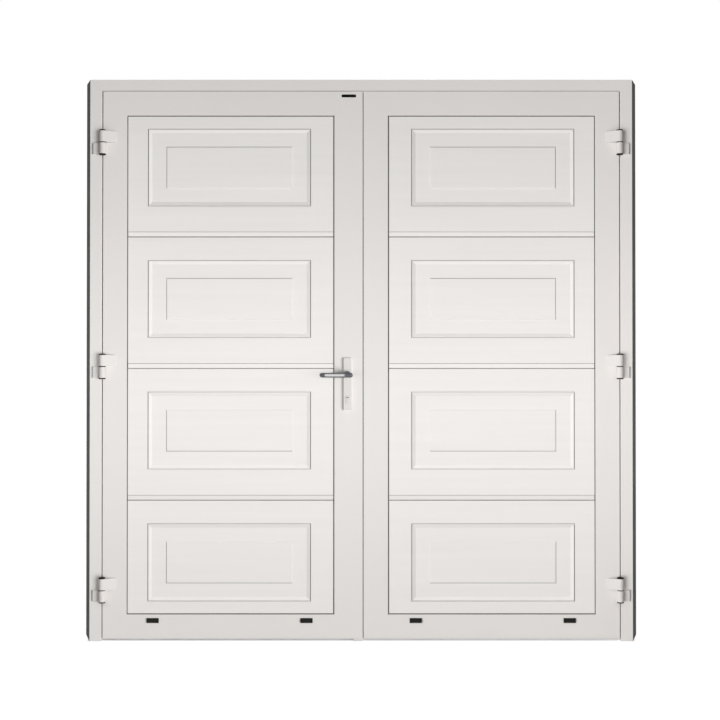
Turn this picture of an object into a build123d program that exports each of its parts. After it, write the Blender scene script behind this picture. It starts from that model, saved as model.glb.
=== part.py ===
from build123d import *
from math import acos, atan2, cos, hypot, sin
import os

os.makedirs("parts", exist_ok=True)

# Whole door, lengths in millimetres
frame_width = 2060.0
frame_height = 2132.0
frame_depth = 70.0
overrun = 5.0

# Frame profile: a deep body with a thin stop lip along the rear
jamb_face = 45.5
head_face = 42.0
frame_arris = 1.0
stop_reach = 18.0
stop_thickness = 6.0
seal_groove_setback = 8.0
seal_groove_width = 5.0
seal_groove_depth = 5.0
gasket_groove_width = 3.0
gasket_groove_depth = 2.0

# Wall seal clipped in the outer groove of each jamb
seal_width = 13.0
seal_front_setback = 1.0
seal_front_bevel = 4.0
seal_rear_setback = 28.0
seal_rear_bevel = 6.0
seal_top_slant = 18.0
seal_foot_slant = 26.0
seal_fit = 0.1

# Frame fixing holes through each jamb
fixing_radius = 5.25
fixing_setback = 47.0
fixing_foot_margin = 260.0
fixing_head_margin = 252.0
fixing_count = 4

# Threshold and frame gasket
sill_height = 6.0
sill_setback = 20.0
sill_bevel = 3.0
upstand_height = 22.0
gasket_inset = 7.5
gasket_width = 8.0
gasket_leaf_gap = 0.3
gasket_low = 12.0
gasket_foot_fit = 0.1
gasket_foot_corner = 6.0

# Leaves
leaf_gap = 4.0
head_gap = 2.0
leaf_floor_gap = 10.0
leaf_depth = 60.0
leaf_arris = 1.0
hinge_stile_width = 91.5
lock_stile_width = 95.5
rail_width = 92.5
lip_reach = 14.0
lip_thickness = 2.5
chamber_width = 13.0
flange_reach = 12.0
flange_depth = 14.0
edge_land = 20.0
edge_step = 4.0
land_step = 3.0

# Panel sections
panel_setback = 4.0
panel_thickness = 40.0
panel_bite = 12.0
panel_names = ["bottom", "lower", "upper", "top"]
panel_foot_trim = 54.5
panel_head_trim = 28.5
tongue_thickness = 16.0
tongue_height = 12.0
tongue_clearance = 0.5
notch_depth = 11.0
notch_height = 3.2
rib_height = 16.5
rib_rise = 2.5
rib_foot_rise = 0.5
rib_lock_gap = 5.0
rib_hinge_gap = 4.5

# Cassette pressed in each panel section
cassette_width = 619.5
cassette_height = 295.0
cassette_hinge_margin = 78.5
cassette_drop = 90.0
quirk_width = 2.5
quirk_depth = 4.0
quirk_land = 2.0
bed_depth = 3.4
bed_ramp = 11.5
field_side_inset = 72.5
field_end_inset = 70.5
field_ramp = 1.0
field_sink = 0.4

# Panel gasket and glazing beads
panel_gasket_show = 3.2
bead_width = 14.0
bead_bevel = 3.0

# Meeting seal, bottom seals, end cap and drain caps
meeting_seal_setback = 4.0
meeting_seal_width = 7.0
meeting_seal_reach = 3.0
meeting_seal_nose = 1.4
meeting_seal_foot = 3.0
meeting_seal_foot_depth = 2.0
meeting_seal_end_gap = 4.0
bottom_seal_setback = 43.0
bottom_seal_thickness = 8.0
bottom_seal_groove = 4.0
bottom_seal_drop = 3.6
bottom_seal_inset = 12.0
end_cap_width = 34.0
end_cap_height = 9.0
end_cap_round = 2.0
drain_width = 45.5
drain_height = 17.5
drain_rise = 4.5
drain_bevel = 3.0
drain_spigot_width = 25.0
drain_spigot_height = 6.0
drain_spigot_depth = 5.0
drain_slot_fit = 0.5
drain_slot_extra = 1.0
drain_level = 70.0
drain_lock_margin = 104.5
drain_hinge_margin = 99.5

# Hinges
hinge_inset = 1.0
hinge_offset = 13.0
barrel_radius = 12.5
knuckle_height = 41.5
washer_height = 3.5
hinge_cap_height = 4.5
hinge_cap_round = 1.0
pin_radius = 5.0
pin_clearance = 0.05
pin_end_gap = 2.0
leaf_wing_start = 2.0
leaf_wing_reach = 51.0
leaf_wing_tip = 1.5
frame_wing_reach = 41.0
frame_wing_thickness = 8.0
frame_wing_tip = 3.0
frame_wing_bevel = 5.0
hinge_top_drop = 197.0
hinge_middle_height = 1032.0
hinge_low_height = 187.0

# Lock, measured from the lever's axis
lever_height = 1012.5
backset = 45.0
lock_setback = 33.0
case_length = 60.0
case_thickness = 16.0
case_above = 35.0
case_below = 133.0
pocket_clearance = 0.3
forend_thickness = 3.0
forend_width = 24.0
forend_over = 30.0
latch_height = 16.0
latch_thickness = 12.0
latch_throw = 10.5
latch_length = 29.0
latch_bevel = 7.0
bolt_drop = 59.5
bolt_height = 24.0
bolt_thickness = 12.0
bolt_length = 38.0
bolt_throw = 23.0
bolt_inset = 0.5
bolt_clearance = 0.3
follower_radius = 10.0
follower_clearance = 0.08
spindle_size = 8.0
spindle_fit = 0.05
spindle_grip = 24.0

# Lock cylinder
cylinder_drop = 88.0
cylinder_radius = 8.5
cylinder_leg_width = 10.0
cylinder_leg_drop = 24.5
cylinder_proud = 2.0
cylinder_fit = 0.15
plug_radius = 6.5
plug_clearance = 0.05
cam_reach = 14.5
cam_width = 8.0
cam_root_radius = 8.0
cam_thickness = 8.0
cam_room = 0.5
cam_sweep_room = 2.5
key_slot_width = 10.0
key_slot_height = 2.6
key_slot_depth = 20.0

# Lever plates and screws
plate_width = 32.0
plate_thickness = 9.0
plate_above = 63.0
plate_below = 136.0
plate_corner = 3.0
plate_bevel = 1.6
plate_screw_radius = 2.5
plate_screw_fit = 0.1
plate_screw_head_radius = 4.8
plate_screw_head_depth = 2.5
plate_screw_margin = 11.5
plate_screw_bite = 6.0

# Levers
lever_radius = 9.0
lever_neck_radius = 12.0
lever_spigot_radius = 9.0
lever_running_gap = 0.3
lever_stand = 50.0
lever_drop = 3.0
lever_heel = 11.5
lever_reach = 105.0
lever_bend = 16.0
lever_return = 18.0
lever_end_round = 2.0

# Keep plate and its pockets in the passive leaf
keep_thickness = 3.0
keep_over = 20.0
keep_pocket_depth = 12.0
keep_hole_margin = 1.5

# Flush bolts in the passive leaf
rod_radius = 5.0
rod_clearance = 0.08
rod_setback = 14.0
rod_end_gap = 1.0
rod_hole_margin = 0.5
slider_width = 13.0
slider_height = 40.0
slider_proud_gap = 1.0
slider_depth = 13.5
slider_room = 1.0
slider_back_room = 3.5
thumb_radius = 9.0
thumb_depth = 4.0
top_slider_drop = 254.0
top_throw = 18.0
top_hole_depth = 22.0
bottom_slider_rise = 220.0
bottom_throw = 10.0

# Places that follow from the sizes above
front_y = -frame_depth / 2
back_y = frame_depth / 2
half_width = frame_width / 2
reveal_half = half_width - jamb_face
reveal_top = frame_height - head_face
stop_setback = frame_depth - stop_thickness
stop_y = front_y + stop_setback
stop_half = reveal_half - stop_reach
gasket_mid = gasket_inset + gasket_width / 2
fixing_pitch = (frame_height - fixing_foot_margin - fixing_head_margin) / (fixing_count - 1)

leaf_edge = reveal_half - leaf_gap
leaf_low = leaf_floor_gap
leaf_high = reveal_top - head_gap
leaf_height = leaf_high - leaf_low
leaf_back = front_y + leaf_depth
leaf_mid_y = front_y + leaf_depth / 2
meeting_edge = chamber_width / 2
leaf_width = leaf_edge - meeting_edge

opening_hinge = leaf_edge - hinge_stile_width
opening_lock = meeting_edge + lock_stile_width
opening_low = leaf_low + rail_width
opening_high = leaf_high - rail_width
panel_front = front_y + panel_setback
panel_back = panel_front + panel_thickness
panel_mid_y = panel_front + panel_thickness / 2
panel_hinge = opening_hinge + panel_bite
panel_lock = opening_lock - panel_bite
panel_low = opening_low - panel_bite
panel_high = opening_high + panel_bite
lip_back = front_y + lip_thickness
module_foot = panel_low - panel_foot_trim
seam_pitch = (panel_high + panel_head_trim - module_foot) / len(panel_names)

hinge_x = leaf_edge - hinge_inset
hinge_y = front_y - hinge_offset
hinge_mids = [
    leaf_high - hinge_top_drop,
    leaf_low + hinge_middle_height,
    leaf_low + hinge_low_height,
]
knuckle_start = washer_height / 2
knuckle_end = knuckle_start + knuckle_height

pivot_x = -meeting_edge - backset
lock_y = front_y + lock_setback
case_front_x = -meeting_edge - forend_thickness
case_low = lever_height - case_below
case_high = lever_height + case_above
forend_low = case_low - forend_over
forend_high = case_high + forend_over
bolt_z = lever_height - bolt_drop
cylinder_z = lever_height - cylinder_drop
plate_low = lever_height - plate_below
plate_high = lever_height + plate_above
plate_mid_z = (plate_low + plate_high) / 2
plate_front = front_y - plate_thickness
plate_rear = leaf_back + plate_thickness
screw_levels = [plate_low + plate_screw_margin, plate_high - plate_screw_margin]
lever_z = lever_height - lever_drop
lever_y = plate_front - lever_stand

step_x = meeting_edge + edge_step
step_y = front_y + edge_land
keep_low = bolt_z - bolt_height / 2 - keep_over
keep_high = lever_height + latch_height / 2 + keep_over
keep_back = step_x + keep_thickness
rod_x = meeting_edge + rod_setback
slider_x = step_x + slider_proud_gap
top_slider_low = leaf_high - top_slider_drop
bottom_slider_low = leaf_low + bottom_slider_rise


def keep(piece, label):
    """Names a finished piece and writes it."""
    piece.part.label = label
    export_step(piece.part, f"parts/{label}.step")


def upright(edge_x, inward, low, high):
    """Section plane of an upright: across the door first, then through its depth."""
    base_z = low if inward > 0 else high
    return Plane(origin=(edge_x, front_y, base_z), x_dir=(inward, 0, 0), z_dir=(0, 0, inward))


def mitre(corner_x, corner_z, along, inward, own, other):
    """Mitre plane at an outer corner between a member's own width and the other's."""
    slope = Vector(*along) * own - Vector(*inward) * other
    return Plane(origin=(corner_x, front_y, corner_z), z_dir=slope)


right = (1, 0, 0)
left = (-1, 0, 0)
up = (0, 0, 1)
down = (0, 0, -1)


def frame_member(base, length, face, ends):
    """Frame profile with its rear stop lip, wall seal groove and gasket groove."""
    with BuildPart() as member:
        with BuildSketch(base) as section:
            with BuildLine():
                Polyline(
                    (0, 0),
                    (face, 0),
                    (face, stop_setback),
                    (face + stop_reach, stop_setback),
                    (face + stop_reach, frame_depth),
                    (0, frame_depth),
                    close=True,
                )
            make_face()
            fillet(section.vertices().group_by(Axis.Y)[0], frame_arris)
            with Locations((0, seal_groove_setback)):
                Rectangle(
                    seal_groove_depth,
                    seal_groove_width,
                    align=(Align.MIN, Align.MIN),
                    mode=Mode.SUBTRACT,
                )
            with Locations((face + gasket_mid, stop_setback)):
                Rectangle(
                    gasket_groove_width,
                    gasket_groove_depth,
                    align=(Align.CENTER, Align.MIN),
                    mode=Mode.SUBTRACT,
                )
        extrude(amount=length)
        for end in ends:
            split(bisect_by=end, keep=Keep.TOP)
    return member.part


def frame_jamb(side):
    """Jamb on one side with its row of fixing holes; side is -1 left, 1 right."""
    inward = left if side > 0 else right
    end = mitre(side * half_width, frame_height, down, inward, jamb_face, head_face)
    base = upright(side * half_width, -side, 0, frame_height)
    with BuildPart() as jamb:
        add(frame_member(base, frame_height, jamb_face, [end]))
        for index in range(fixing_count):
            level = fixing_foot_margin + index * fixing_pitch
            with BuildSketch(Plane(origin=(0, front_y + fixing_setback, level), z_dir=(side, 0, 0))):
                Circle(fixing_radius)
            extrude(amount=half_width + overrun, mode=Mode.SUBTRACT)
    return jamb


# Frame head and jambs
with BuildPart() as frame_head:
    add(
        frame_member(
            Plane(origin=(-half_width, front_y, frame_height), x_dir=down, z_dir=right),
            frame_width,
            head_face,
            [
                mitre(-half_width, frame_height, right, down, head_face, jamb_face),
                mitre(half_width, frame_height, left, down, head_face, jamb_face),
            ],
        )
    )
    with BuildSketch(Plane.XY.offset(reveal_top)):
        with Locations((rod_x, lock_y)):
            Circle(rod_radius + rod_hole_margin)
    extrude(amount=top_hole_depth, mode=Mode.SUBTRACT)
keep(frame_head, "frame_head")
keep(frame_jamb(-1), "frame_jamb_left")
keep(frame_jamb(1), "frame_jamb_right")

# Threshold: a low sill with a rear upstand between the stop lips
with BuildPart() as threshold:
    with BuildSketch(Plane.YZ.offset(-reveal_half)) as sill_section:
        with BuildLine():
            Polyline(
                (front_y + sill_setback, 0),
                (stop_y, 0),
                (stop_y, sill_height),
                (front_y + sill_setback + sill_bevel, sill_height),
                (front_y + sill_setback, sill_height - sill_bevel),
                close=True,
            )
        make_face()
    extrude(amount=2 * reveal_half)
    with BuildSketch(Plane.YZ.offset(-stop_half)):
        with Locations((stop_y, 0)):
            Rectangle(stop_thickness, upstand_height, align=(Align.MIN, Align.MIN))
        with Locations((stop_y, gasket_low + gasket_width / 2)):
            Rectangle(
                gasket_groove_depth,
                gasket_groove_width,
                align=(Align.MIN, Align.CENTER),
                mode=Mode.SUBTRACT,
            )
    extrude(amount=2 * stop_half)
    with BuildSketch(Plane.XY):
        with Locations((rod_x, lock_y)):
            Circle(rod_radius + rod_hole_margin)
    extrude(amount=sill_height, mode=Mode.SUBTRACT)
keep(threshold, "threshold")


# Frame gasket: a bulb ring with its foot in the grooves of the stop lips and upstand
gasket_half = reveal_half - gasket_inset
gasket_high = reveal_top - gasket_inset
gasket_thickness = stop_y - leaf_back - gasket_leaf_gap
foot_trim = (gasket_width - gasket_groove_width) / 2 + gasket_foot_fit
foot_band = gasket_groove_width - 2 * gasket_foot_fit
foot_depth = gasket_groove_depth - gasket_foot_fit
gasket_bands = [(0, gasket_width, gasket_thickness), (foot_trim, foot_band, -foot_depth)]
foot_corner = gasket_half - foot_trim - foot_band - stop_half + gasket_foot_fit
foot_corner_x = stop_half - gasket_foot_fit + foot_corner / 2
foot_mid_x = gasket_half - gasket_width / 2
foot_mid_z = gasket_high - gasket_width / 2
with BuildPart() as frame_gasket:
    for trim, band, reach in gasket_bands:
        with BuildSketch(Plane.XZ.offset(-stop_y)):
            with Locations((0, (gasket_low + gasket_high) / 2)):
                Rectangle(2 * (gasket_half - trim), gasket_high - gasket_low - 2 * trim)
                Rectangle(
                    2 * (gasket_half - trim - band),
                    gasket_high - gasket_low - 2 * (trim + band),
                    mode=Mode.SUBTRACT,
                )
        extrude(amount=reach)
    # The foot stops short of the stop lips along the upstand
    with BuildSketch(Plane.XZ.offset(-stop_y)):
        with Locations(*[(side * foot_corner_x, gasket_low + gasket_width / 2) for side in (-1, 1)]):
            Rectangle(foot_corner, gasket_groove_width)
        # It also leaves the mitres of the head free
        with Locations(*[(side * foot_mid_x, foot_mid_z) for side in (-1, 1)]):
            Rectangle(gasket_foot_corner, gasket_foot_corner)
    extrude(amount=-gasket_groove_depth, mode=Mode.SUBTRACT)
keep(frame_gasket, "frame_gasket")


def wall_seal(side):
    """Rubber lip along one jamb, slanted at both ends; side is -1 left, 1 right."""
    outward = -side
    with BuildPart() as seal:
        with BuildSketch(upright(side * half_width, outward, 0, frame_height)):
            with BuildLine():
                Polyline(
                    (0, seal_front_setback),
                    (-seal_width, seal_front_setback + seal_front_bevel),
                    (-seal_width, seal_rear_setback - seal_rear_bevel),
                    (0, seal_rear_setback),
                    (0, seal_groove_setback + seal_groove_width - seal_fit),
                    (
                        seal_groove_depth - seal_fit,
                        seal_groove_setback + seal_groove_width - seal_fit,
                    ),
                    (seal_groove_depth - seal_fit, seal_groove_setback + seal_fit),
                    (0, seal_groove_setback + seal_fit),
                    close=True,
                )
            make_face()
        extrude(amount=frame_height)
        split(
            bisect_by=Plane(
                origin=(side * half_width, front_y, frame_height),
                z_dir=(-side * seal_top_slant, 0, -seal_width),
            ),
            keep=Keep.TOP,
        )
        split(
            bisect_by=Plane(
                origin=(side * half_width, front_y, 0),
                z_dir=(-side * seal_foot_slant, 0, seal_width),
            ),
            keep=Keep.TOP,
        )
    return seal


keep(wall_seal(-1), "wall_seal_left")
keep(wall_seal(1), "wall_seal_right")


# Hinges: the leaf's barrels run into thin wings along a tangent, the frame's sit on flat ones
leaf_wing_drop = hinge_offset - leaf_wing_tip
tangent_turn = acos(barrel_radius / hypot(leaf_wing_reach, leaf_wing_drop))
tangent_turn = tangent_turn - atan2(leaf_wing_drop, leaf_wing_reach)
tangent_point = (barrel_radius * cos(tangent_turn), -barrel_radius * sin(tangent_turn))


def hinge_wings(side, outline, start):
    """Three left knuckles with wings; side is the way their outline points along X."""
    with BuildPart() as wings:
        for mid in hinge_mids:
            with BuildSketch(Plane(origin=(-hinge_x, hinge_y, mid + start))):
                Circle(barrel_radius)
                with BuildLine():
                    Polyline(*[(side * away, depth) for away, depth in outline], close=True)
                make_face()
                Circle(pin_radius + pin_clearance, mode=Mode.SUBTRACT)
            extrude(amount=knuckle_height)
    return wings


def hinge_discs(axes, start, height, rounded):
    """Discs on the hinge axes; rounded is -1 below, 1 above, 0 for a bored washer."""
    with BuildPart() as discs:
        for axis_x in axes:
            for mid in hinge_mids:
                with BuildSketch(Plane(origin=(axis_x, hinge_y, mid + start))):
                    Circle(barrel_radius)
                    if rounded == 0:
                        Circle(pin_radius + pin_clearance, mode=Mode.SUBTRACT)
                extrude(amount=height)
        if rounded != 0:
            rims = discs.edges().filter_by(GeomType.CIRCLE).group_by(Axis.Z)
            level = start + height if rounded > 0 else start
            for mid in hinge_mids:
                for rim in rims:
                    if abs(rim[0].center().Z - mid - level) < hinge_cap_round:
                        chamfer(rim, hinge_cap_round)
    return discs


both_axes = [-hinge_x, hinge_x]
lower_start = -knuckle_end
frame_wing_start = leaf_gap + hinge_inset
frame_wing_face = hinge_offset - frame_wing_thickness
frame_wing_outline = [
    (frame_wing_start, 0),
    (frame_wing_start, hinge_offset),
    (frame_wing_reach, hinge_offset),
    (frame_wing_reach, hinge_offset - frame_wing_tip),
    (frame_wing_reach - frame_wing_bevel, frame_wing_face),
    (barrel_radius, frame_wing_face),
]
leaf_wing_outline = [
    (leaf_wing_start, 0),
    (leaf_wing_start, hinge_offset),
    (leaf_wing_reach, hinge_offset),
    (leaf_wing_reach, hinge_offset - leaf_wing_tip),
    tangent_point,
]
frame_wings_left = hinge_wings(-1, frame_wing_outline, lower_start)
keep(frame_wings_left, "hinge_frame_wings_left")
with BuildPart() as frame_wings_right:
    mirror(frame_wings_left.part, about=Plane.YZ)
keep(frame_wings_right, "hinge_frame_wings_right")
leaf_wings_active = hinge_wings(1, leaf_wing_outline, knuckle_start)
keep(leaf_wings_active, "hinge_leaf_wings_active")
with BuildPart() as leaf_wings_passive:
    mirror(leaf_wings_active.part, about=Plane.YZ)
keep(leaf_wings_passive, "hinge_leaf_wings_passive")
with BuildPart() as hinge_pins:
    pin_end = knuckle_end - pin_end_gap
    for pin_x in both_axes:
        for pin_mid in hinge_mids:
            with BuildSketch(Plane(origin=(pin_x, hinge_y, pin_mid - pin_end))):
                Circle(pin_radius)
            extrude(amount=2 * pin_end)
keep(hinge_pins, "hinge_pins")
keep(hinge_discs(both_axes, -knuckle_start, washer_height, 0), "hinge_washers")
cap_start = -knuckle_end - hinge_cap_height
keep(hinge_discs(both_axes, cap_start, hinge_cap_height, -1), "hinge_bottom_caps")
keep(hinge_discs([-hinge_x], knuckle_end, hinge_cap_height, 1), "hinge_top_caps_active")
keep(hinge_discs([hinge_x], knuckle_end, hinge_cap_height, 1), "hinge_top_caps_passive")

# Leaf profile: a deep body with a thin front lip, and three kinds of outer edge
plain_edge = [(0, leaf_depth), (0, 0)]
flanged_edge = [
    (0, leaf_depth),
    (0, flange_depth),
    (-flange_reach, flange_depth),
    (-flange_reach, 0),
]
stepped_edge = [
    (edge_step, leaf_depth),
    (edge_step, edge_land),
    (land_step, edge_land),
    (land_step, 0),
]


def leaf_member(base, length, width, edge, ends):
    """Mitred stile or rail with the given outer edge."""
    with BuildPart() as member:
        with BuildSketch(base) as section:
            with BuildLine():
                Polyline(
                    (width, 0),
                    (width, lip_thickness),
                    (width - lip_reach, lip_thickness),
                    (width - lip_reach, leaf_depth),
                    *edge,
                    close=True,
                )
            make_face()
            fillet(section.vertices().group_by(Axis.Y)[0], leaf_arris)
        extrude(amount=length)
        for end in ends:
            split(bisect_by=end, keep=Keep.TOP)
    return member.part


def stile(edge_x, inward, width, edge):
    """Upright of a leaf, mitred at both ends."""
    across = right if inward > 0 else left
    ends = [
        mitre(edge_x, leaf_low, up, across, width, rail_width),
        mitre(edge_x, leaf_high, down, across, width, rail_width),
    ]
    base = upright(edge_x, inward, leaf_low, leaf_high)
    return leaf_member(base, leaf_height, width, edge, ends)


def rail(side, base_z, inward):
    """Rail along the top or bottom of a leaf, mitred at both ends; side is -1 left, 1 right."""
    hinge_end = side * leaf_edge
    lock_end = side * meeting_edge
    from_hinge = left if side > 0 else right
    from_lock = right if side > 0 else left
    start = hinge_end if side * inward[2] > 0 else lock_end
    base = Plane(origin=(start, front_y, base_z), x_dir=inward, z_dir=right if inward == down else left)
    ends = [
        mitre(hinge_end, base_z, from_hinge, inward, rail_width, hinge_stile_width),
        mitre(lock_end, base_z, from_lock, inward, rail_width, lock_stile_width),
    ]
    return leaf_member(base, leaf_width, rail_width, plain_edge, ends)


drain_xs = [opening_lock + drain_lock_margin, opening_hinge - drain_hinge_margin]
drain_z = leaf_low + drain_level
face_plane = Plane.XZ.offset(-front_y)

# Stiles and rails of the active leaf
with BuildPart() as active_hinge_stile:
    add(stile(-leaf_edge, 1, hinge_stile_width, plain_edge))
keep(active_hinge_stile, "active_hinge_stile")

with BuildPart() as active_top_rail:
    add(rail(-1, leaf_high, down))
keep(active_top_rail, "active_top_rail")


def bottom_rail_with_slots(side):
    """Bottom rail with its drain slots and the groove for the bottom seal."""
    with BuildPart() as slotted:
        add(rail(side, leaf_low, up))
        with BuildSketch(face_plane):
            with Locations(*[(side * x, drain_z) for x in drain_xs]):
                Rectangle(
                    drain_spigot_width + 2 * drain_slot_fit,
                    drain_spigot_height + 2 * drain_slot_fit,
                )
        extrude(amount=-(drain_spigot_depth + drain_slot_extra), mode=Mode.SUBTRACT)
        with BuildSketch(Plane.XY.offset(leaf_low)):
            with Locations((side * (leaf_edge + meeting_edge) / 2, front_y + bottom_seal_setback)):
                Rectangle(
                    leaf_width - 2 * bottom_seal_inset,
                    bottom_seal_thickness,
                    align=(Align.CENTER, Align.MIN),
                )
        extrude(amount=bottom_seal_groove, mode=Mode.SUBTRACT)
    return slotted


keep(bottom_rail_with_slots(-1), "active_bottom_rail")

cross_plane = Plane.XZ.offset(-leaf_back)


def cylinder_outline(margin):
    """Round head with a straight leg below, as lock cylinders have."""
    with BuildSketch() as outline:
        with Locations((pivot_x, cylinder_z)):
            Circle(cylinder_radius + margin)
            Rectangle(
                cylinder_leg_width + 2 * margin,
                cylinder_leg_drop + margin,
                align=(Align.CENTER, Align.MAX),
            )
    return outline.sketch


with BuildPart() as active_lock_stile:
    add(stile(-meeting_edge, -1, lock_stile_width, flanged_edge))
    # Pocket for the lock case, open at the meeting edge
    with BuildSketch(Plane.YZ.offset(-meeting_edge)):
        with Locations((lock_y, (case_low + case_high) / 2)):
            Rectangle(
                case_thickness + 2 * pocket_clearance,
                case_high - case_low + 2 * pocket_clearance,
            )
    extrude(amount=-(forend_thickness + case_length + pocket_clearance), mode=Mode.SUBTRACT)
    with BuildSketch(Plane.YZ.offset(-meeting_edge)):
        with Locations((lock_y, (forend_low + forend_high) / 2)):
            Rectangle(forend_width + 2 * pocket_clearance, forend_high - forend_low)
    extrude(amount=-forend_thickness, mode=Mode.SUBTRACT)
    # Openings for the spindle, the cylinder and the plate screws
    with BuildSketch(cross_plane):
        with Locations((pivot_x, lever_height)):
            Circle(follower_radius)
        with Locations(*[(pivot_x, level) for level in screw_levels]):
            Circle(plate_screw_radius + plate_screw_fit)
        add(cylinder_outline(cylinder_fit))
    extrude(amount=leaf_depth, mode=Mode.SUBTRACT)
    # Groove for the meeting seal's foot in the flange
    with BuildSketch(Plane.XY.offset(leaf_low)):
        with Locations((flange_reach - meeting_edge, front_y + meeting_seal_setback + meeting_seal_width / 2)):
            Rectangle(
                meeting_seal_foot_depth,
                meeting_seal_foot,
                align=(Align.MAX, Align.CENTER),
            )
    extrude(amount=leaf_height, mode=Mode.SUBTRACT)
keep(active_lock_stile, "active_lock_stile")


# Panel sections: tongue and groove seams, a rib over each seam and a raised field
def panel_section(low, high, module_low, seam_below, seam_above):
    """Panel section of the active leaf between two levels."""
    cassette_x = -opening_hinge + cassette_hinge_margin + cassette_width / 2
    cassette_z = module_low + seam_pitch - cassette_drop - cassette_height / 2
    with BuildPart() as section:
        with BuildSketch(Plane.YZ.offset(-panel_hinge)):
            with Locations((panel_mid_y, low)):
                Rectangle(panel_thickness, high - low, align=(Align.CENTER, Align.MIN))
            if seam_above:
                with Locations((panel_mid_y, high)):
                    Rectangle(tongue_thickness, tongue_height, align=(Align.CENTER, Align.MIN))
                with Locations((panel_front, high)):
                    Rectangle(
                        notch_depth,
                        notch_height,
                        align=(Align.MIN, Align.MAX),
                        mode=Mode.SUBTRACT,
                    )
            if seam_below:
                with Locations((panel_mid_y, low)):
                    Rectangle(
                        tongue_thickness + 2 * tongue_clearance,
                        tongue_height + tongue_clearance,
                        align=(Align.CENTER, Align.MIN),
                        mode=Mode.SUBTRACT,
                    )
        extrude(amount=panel_hinge - panel_lock)
        if seam_below:
            with BuildSketch(Plane.YZ.offset(-opening_hinge + rib_hinge_gap)):
                with BuildLine():
                    Polyline(
                        (panel_front, low),
                        (panel_front - rib_foot_rise, low),
                        (panel_front - rib_rise, low + rib_height),
                        (panel_front, low + rib_height),
                        close=True,
                    )
                make_face()
            extrude(amount=opening_hinge - opening_lock - rib_hinge_gap - rib_lock_gap)
        face = Plane(origin=(cassette_x, panel_front, cassette_z), x_dir=right, z_dir=(0, -1, 0))
        bed = face.offset(-bed_depth)
        field = face.offset(-field_sink)
        ramp_top = quirk_width + quirk_land
        ramp_foot = ramp_top + bed_ramp
        field_width = cassette_width - 2 * field_side_inset
        field_height = cassette_height - 2 * field_end_inset
        with BuildSketch(face):
            Rectangle(cassette_width, cassette_height)
            Rectangle(
                cassette_width - 2 * quirk_width,
                cassette_height - 2 * quirk_width,
                mode=Mode.SUBTRACT,
            )
        extrude(amount=-quirk_depth, mode=Mode.SUBTRACT)
        with BuildSketch(face):
            Rectangle(cassette_width - 2 * ramp_top, cassette_height - 2 * ramp_top)
        with BuildSketch(bed):
            Rectangle(cassette_width - 2 * ramp_foot, cassette_height - 2 * ramp_foot)
        loft(ruled=True, mode=Mode.SUBTRACT)
        with BuildSketch(bed):
            Rectangle(field_width + 2 * field_ramp, field_height + 2 * field_ramp)
        with BuildSketch(field):
            Rectangle(field_width, field_height)
        loft(ruled=True)
    return section


for index, panel_name in enumerate(panel_names):
    module_base = module_foot + index * seam_pitch
    is_lowest = index == 0
    is_highest = panel_name == panel_names[-1]
    low_edge = panel_low if is_lowest else module_base
    high_edge = panel_high if is_highest else module_base + seam_pitch
    active_panel = panel_section(low_edge, high_edge, module_base, not is_lowest, not is_highest)
    keep(active_panel, f"active_panel_{panel_name}")
    with BuildPart() as passive_panel:
        mirror(active_panel.part, about=Plane.YZ)
    keep(passive_panel, f"passive_panel_{panel_name}")

# Panel gasket between the front lips and the panel sections
with BuildPart() as active_panel_gasket:
    with BuildSketch(Plane.XZ.offset(-panel_front)):
        with Locations((-(panel_hinge + panel_lock) / 2, (panel_low + panel_high) / 2)):
            Rectangle(panel_hinge - panel_lock, panel_high - panel_low)
        with Locations((-(opening_hinge + opening_lock) / 2, (opening_low + opening_high) / 2)):
            Rectangle(
                opening_hinge - opening_lock - 2 * panel_gasket_show,
                opening_high - opening_low - 2 * panel_gasket_show,
                mode=Mode.SUBTRACT,
            )
    extrude(amount=panel_front - lip_back)
keep(active_panel_gasket, "active_panel_gasket")

# Glazing beads behind the panel sections
bead_depth = leaf_back - panel_back
bead_low = opening_low - bead_width
bead_high = opening_high + bead_width


def bead(base, length):
    """Straight bead, bevelled along its free corner."""
    with BuildPart() as strip:
        with BuildSketch(base):
            with BuildLine():
                Polyline(
                    (0, 0),
                    (bead_width, 0),
                    (bead_width, bead_depth - bead_bevel),
                    (bead_width - bead_bevel, bead_depth),
                    (0, bead_depth),
                    close=True,
                )
            make_face()
        extrude(amount=length)
    return strip.part


with BuildPart() as active_side_beads:
    hinge_root = (-opening_hinge - bead_width, panel_back, bead_low)
    add(bead(Plane(origin=hinge_root, x_dir=right, z_dir=up), bead_high - bead_low))
    lock_root = (-opening_lock + bead_width, panel_back, bead_high)
    add(bead(Plane(origin=lock_root, x_dir=left, z_dir=down), bead_high - bead_low))
keep(active_side_beads, "active_side_beads")
with BuildPart() as active_end_beads:
    upper_root = (-opening_hinge, panel_back, bead_high)
    add(bead(Plane(origin=upper_root, x_dir=down, z_dir=right), opening_hinge - opening_lock))
    lower_root = (-opening_lock, panel_back, bead_low)
    add(bead(Plane(origin=lower_root, x_dir=up, z_dir=left), opening_hinge - opening_lock))
keep(active_end_beads, "active_end_beads")

# Seals and caps of the active leaf
with BuildPart() as active_meeting_seal:
    with BuildSketch(Plane.XY.offset(leaf_low + meeting_seal_end_gap)) as seal_section:
        with Locations((flange_reach - meeting_edge, front_y + meeting_seal_setback)):
            Rectangle(meeting_seal_reach, meeting_seal_width, align=(Align.MIN, Align.MIN))
        chamfer(seal_section.vertices().group_by(Axis.X)[-1], meeting_seal_nose)
        with Locations((flange_reach - meeting_edge, front_y + meeting_seal_setback + meeting_seal_width / 2)):
            Rectangle(
                meeting_seal_foot_depth,
                meeting_seal_foot,
                align=(Align.MAX, Align.CENTER),
            )
    extrude(amount=leaf_height - 2 * meeting_seal_end_gap)
keep(active_meeting_seal, "active_meeting_seal")

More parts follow.
